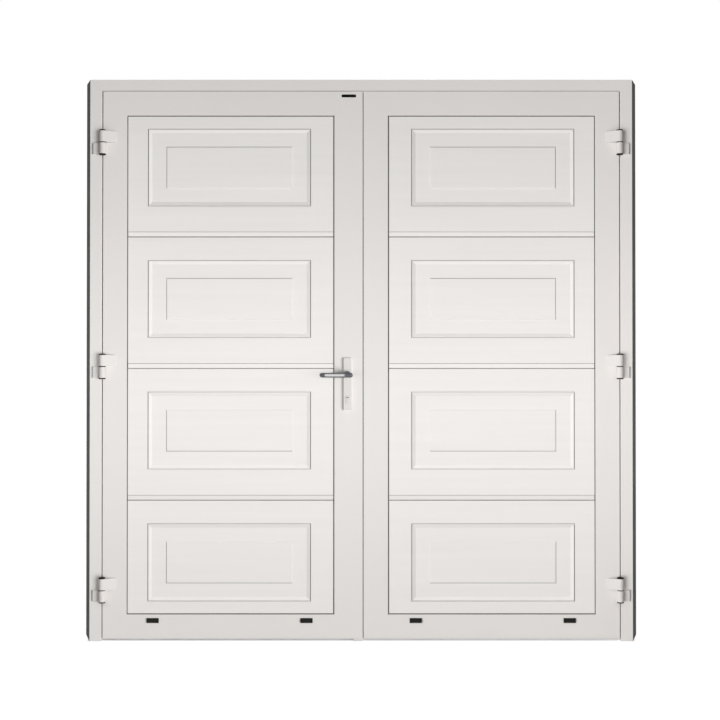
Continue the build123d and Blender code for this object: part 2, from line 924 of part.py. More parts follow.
with BuildPart() as active_bottom_seal:
    with BuildSketch(Plane.XY.offset(leaf_low - bottom_seal_drop)):
        with Locations((-(leaf_edge + meeting_edge) / 2, front_y + bottom_seal_setback)):
            Rectangle(
                leaf_width - 2 * bottom_seal_inset,
                bottom_seal_thickness,
                align=(Align.CENTER, Align.MIN),
            )
    extrude(amount=bottom_seal_drop + bottom_seal_groove)
keep(active_bottom_seal, "active_bottom_seal")

with BuildPart() as active_end_cap:
    with BuildSketch(Plane.XY.offset(leaf_low)):
        with Locations((flange_reach - meeting_edge, front_y)):
            Rectangle(end_cap_width, flange_depth, align=(Align.MAX, Align.MIN))
    extrude(amount=-end_cap_height)
    fillet(active_end_cap.edges().filter_by(Axis.Y).group_by(Axis.Z)[0], end_cap_round)
keep(active_end_cap, "active_end_cap")

with BuildPart() as active_drain_caps:
    for drain_x in drain_xs:
        with BuildSketch(Plane.YZ.offset(-drain_x - drain_width / 2)):
            with BuildLine():
                Polyline(
                    (front_y, drain_z + drain_height / 2),
                    (front_y - drain_rise + drain_bevel, drain_z + drain_height / 2),
                    (front_y - drain_rise, drain_z + drain_height / 2 - drain_bevel),
                    (front_y - drain_rise, drain_z - drain_height / 2),
                    (front_y, drain_z - drain_height / 2),
                    close=True,
                )
            make_face()
        extrude(amount=drain_width)
        with BuildSketch(face_plane):
            with Locations((-drain_x, drain_z)):
                Rectangle(drain_spigot_width, drain_spigot_height)
        extrude(amount=-drain_spigot_depth)
keep(active_drain_caps, "active_drain_caps")

# Lock case with its forend, bored for the follower, cylinder, bolts and screws
with BuildPart() as lock_case:
    with BuildSketch(Plane.YZ.offset(case_front_x)):
        with Locations((lock_y, (case_low + case_high) / 2)):
            Rectangle(case_thickness, case_high - case_low)
    extrude(amount=-case_length)
    with BuildSketch(Plane.YZ.offset(case_front_x)):
        with Locations((lock_y, (forend_low + forend_high) / 2)):
            Rectangle(forend_width, forend_high - forend_low)
    extrude(amount=forend_thickness)
    with BuildSketch(Plane.YZ.offset(-meeting_edge)):
        with Locations((lock_y, lever_height)):
            Rectangle(latch_thickness + 2 * bolt_clearance, latch_height + 2 * bolt_clearance)
    extrude(amount=-(latch_length + bolt_clearance), mode=Mode.SUBTRACT)
    with BuildSketch(Plane.YZ.offset(-meeting_edge)):
        with Locations((lock_y, bolt_z)):
            Rectangle(bolt_thickness + 2 * bolt_clearance, bolt_height + 2 * bolt_clearance)
    extrude(amount=-(bolt_inset + bolt_length + bolt_clearance), mode=Mode.SUBTRACT)
    with BuildSketch(cross_plane):
        with Locations((pivot_x, lever_height)):
            Circle(follower_radius + follower_clearance)
        with Locations(*[(pivot_x, level) for level in screw_levels]):
            Circle(plate_screw_radius + plate_screw_fit)
        add(cylinder_outline(cylinder_fit))
    extrude(amount=leaf_depth, mode=Mode.SUBTRACT)
    with BuildSketch(Plane.XZ.offset(-lock_y)):
        with Locations((pivot_x, cylinder_z)):
            Circle(cam_reach + cam_sweep_room)
    extrude(amount=cam_thickness / 2 + cam_room, both=True, mode=Mode.SUBTRACT)
keep(lock_case, "lock_case")

# Latch with its bevelled nose, and the dead bolt
with BuildPart() as latch_bolt:
    with BuildSketch(Plane.XY.offset(lever_height - latch_height / 2)):
        with BuildLine():
            Polyline(
                (latch_throw - meeting_edge - latch_length, lock_y - latch_thickness / 2),
                (latch_throw - meeting_edge, lock_y - latch_thickness / 2),
                (latch_throw - meeting_edge, lock_y + latch_thickness / 2 - latch_bevel),
                (latch_throw - meeting_edge - latch_bevel, lock_y + latch_thickness / 2),
                (latch_throw - meeting_edge - latch_length, lock_y + latch_thickness / 2),
                close=True,
            )
        make_face()
    extrude(amount=latch_height)
keep(latch_bolt, "latch_bolt")

with BuildPart() as dead_bolt:
    with BuildSketch(Plane.YZ.offset(-meeting_edge - bolt_inset)):
        with Locations((lock_y, bolt_z)):
            Rectangle(bolt_thickness, bolt_height)
    extrude(amount=-bolt_length)
    chamfer(dead_bolt.faces().sort_by(Axis.X)[-1].edges(), bolt_inset)
keep(dead_bolt, "dead_bolt")

# Follower in the case, turned by the square spindle
with BuildPart() as lock_follower:
    with BuildSketch(Plane.XZ.offset(-lock_y)):
        with Locations((pivot_x, lever_height)):
            Circle(follower_radius)
            Rectangle(
                spindle_size + 2 * spindle_fit,
                spindle_size + 2 * spindle_fit,
                mode=Mode.SUBTRACT,
            )
    extrude(amount=case_thickness / 2, both=True)
keep(lock_follower, "lock_follower")

spindle_front = plate_front - spindle_grip
spindle_rear = plate_rear + spindle_grip
with BuildPart() as lever_spindle:
    with BuildSketch(Plane.XZ.offset(-spindle_rear)):
        with Locations((pivot_x, lever_height)):
            Rectangle(spindle_size, spindle_size)
    extrude(amount=spindle_rear - spindle_front)
keep(lever_spindle, "lever_spindle")

# Outside lever: a round bar on a turned neck, its free end bent back to the door
with BuildPart() as outside_lever:
    heel_x = pivot_x + lever_heel
    tip_x = pivot_x - lever_reach + lever_radius
    with BuildLine() as grip_path:
        FilletPolyline(
            (heel_x, lever_y, lever_z),
            (tip_x, lever_y, lever_z),
            (tip_x, lever_y + lever_return + lever_bend, lever_z),
            radius=lever_bend,
        )
    with BuildSketch(Plane(origin=(heel_x, lever_y, lever_z), x_dir=(0, 1, 0), z_dir=left)):
        Circle(lever_radius)
    sweep()
    fillet(
        outside_lever.edges().filter_by(GeomType.CIRCLE).sort_by(Axis.Y)[-1],
        lever_end_round,
    )
    with Locations((heel_x, lever_y, lever_z)):
        Sphere(lever_radius)
    with BuildSketch(Plane.XZ.offset(-lever_y)):
        with Locations((pivot_x, lever_height)):
            Circle(lever_neck_radius)
    extrude(amount=-(lever_stand - lever_running_gap))
    with BuildSketch(Plane.XZ.offset(-plate_front)):
        with Locations((pivot_x, lever_height)):
            Circle(lever_spigot_radius)
    extrude(amount=lever_running_gap)
    with BuildSketch(Plane.XZ.offset(-plate_front)):
        with Locations((pivot_x, lever_height)):
            Circle(lever_spigot_radius)
    extrude(amount=-(plate_thickness - lever_running_gap))
    with BuildSketch(Plane.XZ.offset(-front_y)):
        with Locations((pivot_x, lever_height)):
            Rectangle(spindle_size + 2 * spindle_fit, spindle_size + 2 * spindle_fit)
    extrude(amount=front_y - spindle_front, mode=Mode.SUBTRACT)
keep(outside_lever, "outside_lever")
with BuildPart() as inside_lever:
    mirror(outside_lever.part, about=Plane.XZ.offset(-leaf_mid_y))
keep(inside_lever, "inside_lever")

# Lock cylinder, slotted for its cam, and the plug that turns in it
cylinder_front = plate_front - cylinder_proud
cylinder_rear = plate_rear + cylinder_proud
cylinder_end = Plane.XZ.offset(-cylinder_rear)
cylinder_length = cylinder_rear - cylinder_front
with BuildPart() as cylinder_body:
    with BuildSketch(cylinder_end):
        add(cylinder_outline(0))
    extrude(amount=cylinder_length)
    with BuildSketch(cylinder_end):
        with Locations((pivot_x, cylinder_z)):
            Circle(plug_radius + plug_clearance)
    extrude(amount=cylinder_length, mode=Mode.SUBTRACT)
    with BuildSketch(Plane.XZ.offset(-lock_y)):
        with Locations((pivot_x, cylinder_z)):
            Circle(cam_reach + cam_room)
    extrude(amount=cam_thickness / 2 + cam_room, both=True, mode=Mode.SUBTRACT)
keep(cylinder_body, "cylinder_body")

with BuildPart() as cylinder_plug:
    with BuildSketch(cylinder_end):
        with Locations((pivot_x, cylinder_z)):
            Circle(plug_radius)
    extrude(amount=cylinder_length)
    with BuildSketch(Plane.XZ.offset(-lock_y)):
        with Locations((pivot_x, cylinder_z)):
            Circle(cam_root_radius)
            Rectangle(cam_width, cam_reach, align=(Align.CENTER, Align.MAX))
            Circle(cam_reach, mode=Mode.INTERSECT)
    extrude(amount=cam_thickness / 2, both=True)
    with BuildSketch(Plane.XZ.offset(-cylinder_front)):
        with Locations((pivot_x, cylinder_z)):
            Rectangle(key_slot_width, key_slot_height)
    extrude(amount=-key_slot_depth, mode=Mode.SUBTRACT)
    with BuildSketch(cylinder_end):
        with Locations((pivot_x, cylinder_z)):
            Rectangle(key_slot_width, key_slot_height)
    extrude(amount=key_slot_depth, mode=Mode.SUBTRACT)
keep(cylinder_plug, "cylinder_plug")


# Lever plates, screwed together from the inside
def plate_blank(base, amount, rear):
    """Plate with rounded corners and a bevelled outer rim."""
    with BuildPart() as blank:
        with BuildSketch(base):
            with Locations((pivot_x, plate_mid_z)):
                RectangleRounded(plate_width, plate_high - plate_low, plate_corner)
        extrude(amount=amount)
        outer = blank.faces().sort_by(Axis.Y)[-1 if rear else 0]
        chamfer(outer.edges(), plate_bevel)
        with BuildSketch(base):
            with Locations((pivot_x, lever_height)):
                Circle(lever_spigot_radius + lever_running_gap)
            add(cylinder_outline(cylinder_fit))
        extrude(amount=amount, mode=Mode.SUBTRACT)
    return blank.part


with BuildPart() as outside_plate:
    add(plate_blank(face_plane, plate_thickness, False))
    with BuildSketch(face_plane):
        with Locations(*[(pivot_x, level) for level in screw_levels]):
            Circle(plate_screw_radius)
    extrude(amount=plate_screw_bite, mode=Mode.SUBTRACT)
keep(outside_plate, "outside_plate")

with BuildPart() as inside_plate:
    add(plate_blank(cross_plane, -plate_thickness, True))
    with Locations(
        *[
            Plane(origin=(pivot_x, plate_rear, level), z_dir=(0, 1, 0)).location
            for level in screw_levels
        ]
    ):
        CounterSinkHole(
            plate_screw_radius + plate_screw_fit,
            plate_screw_head_radius,
            depth=plate_thickness,
        )
keep(inside_plate, "inside_plate")

screw_end = front_y - plate_screw_bite
with BuildPart() as plate_screws:
    for level in screw_levels:
        with BuildSketch(Plane.XZ.offset(-plate_rear)):
            with Locations((pivot_x, level)):
                Circle(plate_screw_radius)
        extrude(amount=plate_rear - screw_end)
        with BuildSketch(Plane.XZ.offset(-plate_rear)):
            with Locations((pivot_x, level)):
                Circle(plate_screw_head_radius - plate_screw_fit)
        with BuildSketch(Plane.XZ.offset(-plate_rear + plate_screw_head_depth)):
            with Locations((pivot_x, level)):
                Circle(plate_screw_radius)
        loft()
keep(plate_screws, "plate_screws")

# Passive leaf: the mirrored pieces
with BuildPart() as passive_hinge_stile:
    mirror(active_hinge_stile.part, about=Plane.YZ)
keep(passive_hinge_stile, "passive_hinge_stile")
with BuildPart() as passive_side_beads:
    mirror(active_side_beads.part, about=Plane.YZ)
keep(passive_side_beads, "passive_side_beads")
with BuildPart() as passive_end_beads:
    mirror(active_end_beads.part, about=Plane.YZ)
keep(passive_end_beads, "passive_end_beads")
with BuildPart() as passive_panel_gasket:
    mirror(active_panel_gasket.part, about=Plane.YZ)
keep(passive_panel_gasket, "passive_panel_gasket")
with BuildPart() as passive_bottom_seal:
    mirror(active_bottom_seal.part, about=Plane.YZ)
keep(passive_bottom_seal, "passive_bottom_seal")
with BuildPart() as passive_drain_caps:
    mirror(active_drain_caps.part, about=Plane.YZ)
keep(passive_drain_caps, "passive_drain_caps")

# Passive leaf: rails stepped back at the meeting end and bored for the flush bolts
step_depth = leaf_depth - edge_land
with BuildPart() as passive_top_rail:
    add(rail(1, leaf_high, down))
    with BuildSketch(Plane.XY.offset(leaf_high)):
        with Locations((meeting_edge, front_y)):
            Rectangle(land_step, edge_land, align=(Align.MIN, Align.MIN))
        with Locations((meeting_edge, step_y)):
            Rectangle(edge_step, step_depth, align=(Align.MIN, Align.MIN))
        with Locations((rod_x, lock_y)):
            Circle(rod_radius + rod_clearance)
    extrude(amount=-rail_width, mode=Mode.SUBTRACT)
keep(passive_top_rail, "passive_top_rail")

with BuildPart() as passive_bottom_rail:
    add(bottom_rail_with_slots(1).part)
    with BuildSketch(Plane.XY.offset(leaf_low)):
        with Locations((meeting_edge, front_y)):
            Rectangle(land_step, edge_land, align=(Align.MIN, Align.MIN))
        with Locations((meeting_edge, step_y)):
            Rectangle(edge_step, step_depth, align=(Align.MIN, Align.MIN))
        with Locations((rod_x, lock_y)):
            Circle(rod_radius + rod_clearance)
    extrude(amount=rail_width, mode=Mode.SUBTRACT)
keep(passive_bottom_rail, "passive_bottom_rail")

# Meeting stile: keep pockets and two flush bolt channels, open at the edge
channel_depth = rod_x + rod_radius + slider_back_room - step_x
channel_width = slider_width + slider_room
channels = [
    (top_slider_low - slider_room, top_slider_low + slider_height + top_throw + slider_room),
    (bottom_slider_low - bottom_throw - slider_room, bottom_slider_low + slider_height + slider_room),
]
with BuildPart() as passive_meeting_stile:
    add(stile(meeting_edge, 1, lock_stile_width, stepped_edge))
    with BuildSketch(Plane.YZ.offset(step_x)):
        with Locations((lock_y, (keep_low + keep_high) / 2)):
            Rectangle(forend_width, keep_high - keep_low)
    extrude(amount=keep_thickness, mode=Mode.SUBTRACT)
    with BuildSketch(Plane.YZ.offset(keep_back)):
        with Locations((lock_y, bolt_z)):
            Rectangle(bolt_thickness + 2 * keep_hole_margin, bolt_height + 2 * keep_hole_margin)
        with Locations((lock_y, lever_height)):
            Rectangle(latch_thickness + 2 * keep_hole_margin, latch_height + 2 * keep_hole_margin)
    extrude(amount=keep_pocket_depth, mode=Mode.SUBTRACT)
    for channel_low, channel_high in channels:
        with BuildSketch(Plane.YZ.offset(step_x)):
            with Locations((lock_y, (channel_low + channel_high) / 2)):
                Rectangle(channel_width, channel_high - channel_low)
        extrude(amount=channel_depth, mode=Mode.SUBTRACT)
    with BuildSketch(Plane.XY.offset(top_slider_low)):
        with Locations((rod_x, lock_y)):
            Circle(rod_radius + rod_clearance)
    extrude(amount=leaf_high - top_slider_low, mode=Mode.SUBTRACT)
    with BuildSketch(Plane.XY.offset(leaf_low)):
        with Locations((rod_x, lock_y)):
            Circle(rod_radius + rod_clearance)
    extrude(amount=bottom_slider_low - leaf_low, mode=Mode.SUBTRACT)
keep(passive_meeting_stile, "passive_meeting_stile")

with BuildPart() as keep_plate:
    with BuildSketch(Plane.YZ.offset(step_x)):
        with Locations((lock_y, (keep_low + keep_high) / 2)):
            Rectangle(forend_width, keep_high - keep_low)
        with Locations((lock_y, bolt_z)):
            Rectangle(
                bolt_thickness + 2 * keep_hole_margin,
                bolt_height + 2 * keep_hole_margin,
                mode=Mode.SUBTRACT,
            )
        with Locations((lock_y, lever_height)):
            Rectangle(
                latch_thickness + 2 * keep_hole_margin,
                latch_height + 2 * keep_hole_margin,
                mode=Mode.SUBTRACT,
            )
    extrude(amount=keep_thickness)
keep(keep_plate, "keep_plate")


def flush_bolt(slider_low, rod_from, rod_to):
    """Slider with a thumb recess and the round rod that it drives."""
    with BuildPart() as bolt:
        with BuildSketch(Plane.YZ.offset(slider_x)):
            with Locations((lock_y, slider_low)):
                Rectangle(slider_width, slider_height, align=(Align.CENTER, Align.MIN))
        extrude(amount=slider_depth)
        with BuildSketch(Plane.XZ.offset(-lock_y)):
            with Locations((slider_x - thumb_radius + thumb_depth, slider_low + slider_height / 2)):
                Circle(thumb_radius)
        extrude(amount=slider_width / 2, both=True, mode=Mode.SUBTRACT)
        with BuildSketch(Plane.XY.offset(rod_from)):
            with Locations((rod_x, lock_y)):
                Circle(rod_radius)
        extrude(amount=rod_to - rod_from)
    return bolt


keep(flush_bolt(top_slider_low, top_slider_low, leaf_high - rod_end_gap), "top_flush_bolt")
keep(
    flush_bolt(bottom_slider_low, leaf_low + rod_end_gap, bottom_slider_low + slider_height),
    "bottom_flush_bolt",
)
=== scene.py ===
"""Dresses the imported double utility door: finishes, small trim, light and camera."""

from __future__ import annotations

import logging
import math
from dataclasses import dataclass
from enum import Enum
from typing import Any, Sequence

import bpy
import numpy as np
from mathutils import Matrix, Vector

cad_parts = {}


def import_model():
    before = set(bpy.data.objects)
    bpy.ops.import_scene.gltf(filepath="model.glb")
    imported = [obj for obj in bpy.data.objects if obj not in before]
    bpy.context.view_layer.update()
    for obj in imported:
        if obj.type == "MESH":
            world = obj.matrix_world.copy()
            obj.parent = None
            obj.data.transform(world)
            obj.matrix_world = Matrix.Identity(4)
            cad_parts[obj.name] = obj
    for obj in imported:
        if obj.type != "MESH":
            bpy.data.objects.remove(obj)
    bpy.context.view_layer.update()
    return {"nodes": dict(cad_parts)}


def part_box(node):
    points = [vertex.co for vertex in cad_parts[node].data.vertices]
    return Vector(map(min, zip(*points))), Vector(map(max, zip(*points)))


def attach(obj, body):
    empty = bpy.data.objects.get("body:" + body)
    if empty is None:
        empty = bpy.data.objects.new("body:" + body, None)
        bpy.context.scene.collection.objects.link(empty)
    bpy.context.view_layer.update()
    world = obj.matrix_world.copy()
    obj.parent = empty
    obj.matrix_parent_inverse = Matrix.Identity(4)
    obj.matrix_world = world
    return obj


LOG = logging.getLogger("double_door")
MM = 0.001
COAT_SHINE = 0.22
WHITE = (1.0, 1.0, 1.0, 1.0)

Colour = tuple[float, float, float]
Scale = tuple[float, float, float]
Point = tuple[float, float, float]
Pair = tuple[float, float]


class Slot(Enum):
    """Material slots of the record that the pieces take their finish from."""

    WHITE_COAT = "white_coat"
    WHITE_PANEL = "white_panel"
    DARK_RUBBER = "dark_rubber"
    BLACK_PLASTIC = "black_plastic"
    WHITE_PLASTIC = "white_plastic"
    MILL_ALUMINIUM = "mill_aluminium"
    SILVER_PLATE = "silver_plate"
    DARK_STEEL = "dark_steel"
    BRIGHT_STEEL = "bright_steel"
    LOCK_BRASS = "lock_brass"


class LeafSide(Enum):
    """The two leaves, seen from outside."""

    ACTIVE = -1
    PASSIVE = 1


class PanelRow(Enum):
    """The panel sections of a leaf, from the top."""

    TOP = "top"
    UPPER = "upper"
    LOWER = "lower"
    BOTTOM = "bottom"


class Facing(Enum):
    """Ways that a small screw head can look, as its outward unit vector."""

    RIGHT = (1.0, 0.0, 0.0)
    LEFT = (-1.0, 0.0, 0.0)
    UP = (0.0, 0.0, 1.0)


class ShaderSketch:
    """One material with a Principled shader and the nodes that feed it."""

    MIX_FACTOR, MIX_FIRST, MIX_SECOND, MIX_RESULT = 0, 6, 7, 2
    BEVEL_SAMPLES = 4

    def __init__(self, name: str) -> None:
        """Starts an empty node tree with a shader and an output.

        Args:
            name: Name of the material.
        """
        self.material = bpy.data.materials.new(name)
        self.material.use_nodes = True
        self.tree = self.material.node_tree
        self.tree.nodes.clear()
        self.output = self.tree.nodes.new("ShaderNodeOutputMaterial")
        self.shader = self.tree.nodes.new("ShaderNodeBsdfPrincipled")
        self.tree.links.new(self.shader.outputs["BSDF"], self.output.inputs["Surface"])
        self.coords = self.tree.nodes.new("ShaderNodeTexCoord")

    def constant(self, socket: str, value: Any) -> None:
        """Sets one of the shader's own sockets to a fixed value."""
        self.shader.inputs[socket].default_value = value

    def feed(self, socket: str, source: Any) -> None:
        """Joins an output socket to one of the shader's own sockets."""
        self.link(source, self.shader, socket)

    def link(self, source: Any, node: Any, socket: str) -> None:
        """Joins an output socket to a named input of a node."""
        self.tree.links.new(source, node.inputs[socket])

    def placed(self, scale: Sequence[float]) -> Any:
        """Object coordinates stretched by a scale along each axis.

        Args:
            scale: Repeats per metre along X, Y and Z.

        Returns:
            The vector socket of the mapping node.
        """
        mapping = self.tree.nodes.new("ShaderNodeMapping")
        mapping.inputs["Scale"].default_value = tuple(scale)
        self.link(self.coords.outputs["Object"], mapping, "Vector")
        return mapping.outputs["Vector"]

    def noise(self, scale: Sequence[float], detail: float, roughness: float = 0.5) -> Any:
        """Fractal noise in Object coordinates.

        Args:
            scale: Repeats per metre along X, Y and Z.
            detail: Octaves of the noise.
            roughness: Weight of the finer octaves.

        Returns:
            The noise value socket.
        """
        node = self.tree.nodes.new("ShaderNodeTexNoise")
        node.inputs["Scale"].default_value = 1.0
        node.inputs["Detail"].default_value = detail
        node.inputs["Roughness"].default_value = roughness
        self.link(self.placed(scale), node, "Vector")
        return node.outputs["Fac"]

    def ranged(self, source: Any, low: float, high: float, clip: Pair = (0.3, 0.7)) -> Any:
        """Maps a value between two clip marks onto a range.

        Args:
            source: Value socket.
            low: Result at the lower mark.
            high: Result at the upper mark.
            clip: The two marks.

        Returns:
            The mapped value socket.
        """
        node = self.tree.nodes.new("ShaderNodeMapRange")
        node.inputs["From Min"].default_value = clip[0]
        node.inputs["From Max"].default_value = clip[1]
        node.inputs["To Min"].default_value = low
        node.inputs["To Max"].default_value = high
        self.link(source, node, "Value")
        return node.outputs["Result"]

    def blended(self, factor: Any, first: Any, second: Colour) -> Any:
        """Mixes two colours by a value socket.

        Args:
            factor: Value socket from 0 to 1.
            first: Colour at 0, or the socket of one.
            second: Colour at 1.

        Returns:
            The mixed colour socket.
        """
        node = self.tree.nodes.new("ShaderNodeMix")
        node.data_type = "RGBA"
        if isinstance(first, tuple):
            node.inputs[self.MIX_FIRST].default_value = (*first, 1.0)
        else:
            self.tree.links.new(first, node.inputs[self.MIX_FIRST])
        node.inputs[self.MIX_SECOND].default_value = (*second, 1.0)
        self.tree.links.new(factor, node.inputs[self.MIX_FACTOR])
        return node.outputs[self.MIX_RESULT]

    def along(self, axis: str) -> Any:
        """Object coordinate along one axis, X, Y or Z."""
        node = self.tree.nodes.new("ShaderNodeSeparateXYZ")
        self.link(self.coords.outputs["Object"], node, "Vector")
        return node.outputs[axis]

    def maths(self, operation: str, first: Any, second: Any = None) -> Any:
        """Joins one or two values by an operation.

        Args:
            operation: Name of the operation, such as ADD.
            first: Value socket.
            second: Value socket, plain number or nothing.

        Returns:
            The result socket.
        """
        node = self.tree.nodes.new("ShaderNodeMath")
        node.operation = operation
        self.tree.links.new(first, node.inputs[0])
        if isinstance(second, float):
            node.inputs[1].default_value = second
        elif second is not None:
            self.tree.links.new(second, node.inputs[1])
        return node.outputs[0]

    def stripe(self, value: Any, low: float, high: float, fade: float) -> Any:
        """Value of 1 between two marks, fading to 0 beyond them.

        Args:
            value: Value socket.
            low: Lower mark.
            high: Upper mark.
            fade: Length of the fade at each mark.

        Returns:
            The value socket.
        """
        rise = self.ranged(value, 0.0, 1.0, (low - fade, low))
        return self.maths("MULTIPLY", rise, self.ranged(value, 1.0, 0.0, (high, high + fade)))

    def off_middle(self, value: Any, middle: float) -> Any:
        """Distance of a value from a middle, never negative."""
        return self.maths("ABSOLUTE", self.maths("SUBTRACT", value, middle))

    def relief(self, height: Any, depth: float, strength: float, edge: float = 0.0) -> None:
        """Gives the shader a bump and, where asked, softly rounded edges.

        Args:
            height: Value socket with the relief.
            depth: Height of the relief in metres.
            strength: Weight of the bump.
            edge: Radius of the softened edges in metres, 0 for none.
        """
        bump = self.tree.nodes.new("ShaderNodeBump")
        bump.inputs["Distance"].default_value = depth
        bump.inputs["Strength"].default_value = strength
        self.link(height, bump, "Height")
        if edge > 0.0:
            bevel = self.tree.nodes.new("ShaderNodeBevel")
            bevel.samples = self.BEVEL_SAMPLES
            bevel.inputs["Radius"].default_value = edge
            self.link(bevel.outputs["Normal"], bump, "Normal")
        self.feed("Normal", bump.outputs["Normal"])


@dataclass(frozen=True)
class Finish:
    """Base of the finishes: a name and the two colours that are mixed."""

    name: str
    light: Colour
    dark: Colour

    def build(self) -> bpy.types.Material:
        """Builds the material."""
        sketch = ShaderSketch(self.name)
        self.paint(sketch)
        return sketch.material

    def paint(self, sketch: ShaderSketch) -> None:
        """Feeds the shader of a new sketch."""
        raise NotImplementedError


@dataclass(frozen=True)
class PowderCoat(Finish):
    """Satin powder coat on aluminium: faint orange peel and an even, slightly warm white."""

    cloud_scale: Scale = (2.4, 2.4, 1.3)
    gloss_scale: Scale = (9.0, 9.0, 5.0)
    gloss: Pair = (0.52, 0.62)
    peel_per_metre: float = 750.0
    peel_depth: float = 0.00006
    peel_strength: float = 0.35
    edge: float = 0.0006

    def paint(self, sketch: ShaderSketch) -> None:
        """Feeds the shader with clouded colour, uneven gloss and orange peel."""
        cloud = sketch.ranged(sketch.noise(self.cloud_scale, detail=3.0), 0.0, 1.0)
        sketch.feed("Base Color", sketch.blended(cloud, self.dark, self.light))
        sketch.feed("Roughness", sketch.ranged(sketch.noise(self.gloss_scale, detail=2.0), *self.gloss))
        sketch.constant("Specular IOR Level", COAT_SHINE)
        peel = sketch.noise((self.peel_per_metre,) * 3, detail=2.0)
        sketch.relief(peel, self.peel_depth, self.peel_strength, self.edge)


@dataclass(frozen=True)
class GrainedSheet(Finish):
    """Coated sheet with a pressed horizontal wood grain and painted shade along its pressed lines."""

    # Colour of the painted shade in the pressed lines, on the rib's top edge and in the seam's notch.
    dust_and_shade: Colour = (0.38, 0.37, 0.355)
    streak_scale: Scale = (1.6, 8.0, 38.0)
    streak_marks: Pair = (0.25, 0.75)
    grain_scale: Scale = (7.0, 60.0, 260.0)
    grain_depth: float = 0.00022
    grain_strength: float = 0.4
    gloss: Pair = (0.62, 0.5)
    edge: float = 0.0008
    module_foot: float = 0.036
    module_height: float = 0.5
    cassette_x: float = 0.50075
    cassette_rise: float = 0.2625
    middle_z: float = 1.05
    quirk_half: Pair = (0.30975, 0.1475)
    quirk_band: Pair = (-0.0025, 0.0)
    quirk_shares: Pair = (0.4, 1.0)
    field_half: Pair = (0.23825, 0.078)
    field_band: Pair = (0.0, 0.0016)
    field_shares: Pair = (0.2, 1.0)
    # Painted shadow line along the top edge of the rib.
    rib_band: Pair = (0.0165, 0.0179)
    # Painted shade in the seam's notch, over this band of depth.
    notch_y: Pair = (-0.0262, -0.012)
    notch_share: float = 0.6
    back_y: float = -0.024
    fade: float = 0.0004

    def paint(self, sketch: ShaderSketch) -> None:
        """Feeds the shader with streaked colour, the painted shade and the grain."""
        grain = sketch.noise(self.grain_scale, detail=5.0, roughness=0.62)
        tone = sketch.ranged(sketch.noise(self.streak_scale, detail=3.0), 0.0, 1.0, self.streak_marks)
        sheet = sketch.blended(tone, self.dark, self.light)
        # Painted shade darkens the sheet in its pressed lines, on the rib's edge and in the seam.
        sketch.feed("Base Color", sketch.blended(self.painted_shade_lines(sketch), sheet, self.dust_and_shade))
        sketch.feed("Roughness", sketch.ranged(grain, *self.gloss))
        sketch.constant("Specular IOR Level", COAT_SHINE)
        sketch.relief(grain, self.grain_depth, self.grain_strength, self.edge)

    def painted_shade_lines(self, sketch: ShaderSketch) -> Any:
        """Painted shade round the cassette, along the rib's top edge and in the seam of each section.

        The rise of a point above the foot of its section repeats with the sections. The
        lines of painted shade lie on the front only, and the seam's painted shade deep in its notch.

        Args:
            sketch: Sketch of the material.

        Returns:
            Value socket, 1 in the dust.
        """
        level = sketch.along("Z")
        turns = sketch.maths("DIVIDE", sketch.maths("SUBTRACT", level, self.module_foot), self.module_height)
        rise = sketch.maths("MULTIPLY", sketch.maths("FRACT", turns), self.module_height)
        rib = sketch.stripe(rise, *self.rib_band, self.fade)
        lines = sketch.maths("MAXIMUM", self.cassette_painted_shade(sketch, level, rise), rib)
        depth = sketch.along("Y")
        front = sketch.ranged(depth, 1.0, 0.0, (self.back_y, self.back_y + self.fade))
        notch = sketch.maths("MULTIPLY", sketch.stripe(depth, *self.notch_y, self.fade), self.notch_share)
        return sketch.maths("MAXIMUM", sketch.maths("MULTIPLY", lines, front), notch)

    def cassette_painted_shade(self, sketch: ShaderSketch, level: Any, rise: Any) -> Any:
        """Painted shade in the quirk and at the foot of the field of a cassette.

        The quirk's painted shade is stronger along its uprights, and the field's foot gets its painted
        shadow on the sides away from the middle of the door. Distances along X mirror with the leaves.

        Args:
            sketch: Sketch of the material.
            level: Value socket of the height above the floor.
            rise: Value socket of the height above the section's foot.

        Returns:
            Value socket, 1 in the dust.
        """
        reach = sketch.maths("ABSOLUTE", sketch.along("X"))
        away = sketch.maths(
            "MULTIPLY",
            sketch.maths("SUBTRACT", rise, self.cassette_rise),
            sketch.maths("SUBTRACT", level, self.middle_z),
        )
        # The field's painted shadow falls on the sides away from the door's middle, where the light comes from.
        far_x = sketch.maths("GREATER_THAN", reach, self.cassette_x)
        far_z = sketch.maths("GREATER_THAN", away, 0.0)
        offsets = (sketch.off_middle(reach, self.cassette_x), sketch.off_middle(rise, self.cassette_rise))
        quirk, upright, _ = self.frame_line(sketch, offsets, self.quirk_half, self.quirk_band)
        quirk = sketch.maths("MULTIPLY", quirk, sketch.ranged(upright, *self.quirk_shares, (0.0, 1.0)))
        field, upright, flat = self.frame_line(sketch, offsets, self.field_half, self.field_band)
        turned = sketch.maths(
            "ADD", sketch.maths("MULTIPLY", upright, far_x), sketch.maths("MULTIPLY", flat, far_z)
        )
        field = sketch.maths("MULTIPLY", field, sketch.ranged(turned, *self.field_shares, (0.0, 1.0)))
        return sketch.maths("MAXIMUM", quirk, field)

    def frame_line(
        self, sketch: ShaderSketch, offsets: tuple[Any, Any], half: Pair, band: Pair
    ) -> tuple[Any, Any, Any]:
        """Line along an upright rectangle round the cassette's middle.

        A point's distance from the rectangle is the larger of its overhangs along X and Z.

        Args:
            sketch: Sketch of the material.
            offsets: Distances from the middle along X and Z.
            half: Half width and half height of the rectangle.
            band: Marks of the line, outwards from the rectangle.

        Returns:
            Value sockets of the line, of its uprights and of its level runs.
        """
        over = [sketch.maths("SUBTRACT", offset, reached) for offset, reached in zip(offsets, half)]
        line = sketch.stripe(sketch.maths("MAXIMUM", *over), *band, self.fade)
        return line, sketch.maths("GREATER_THAN", *over), sketch.maths("LESS_THAN", *over)


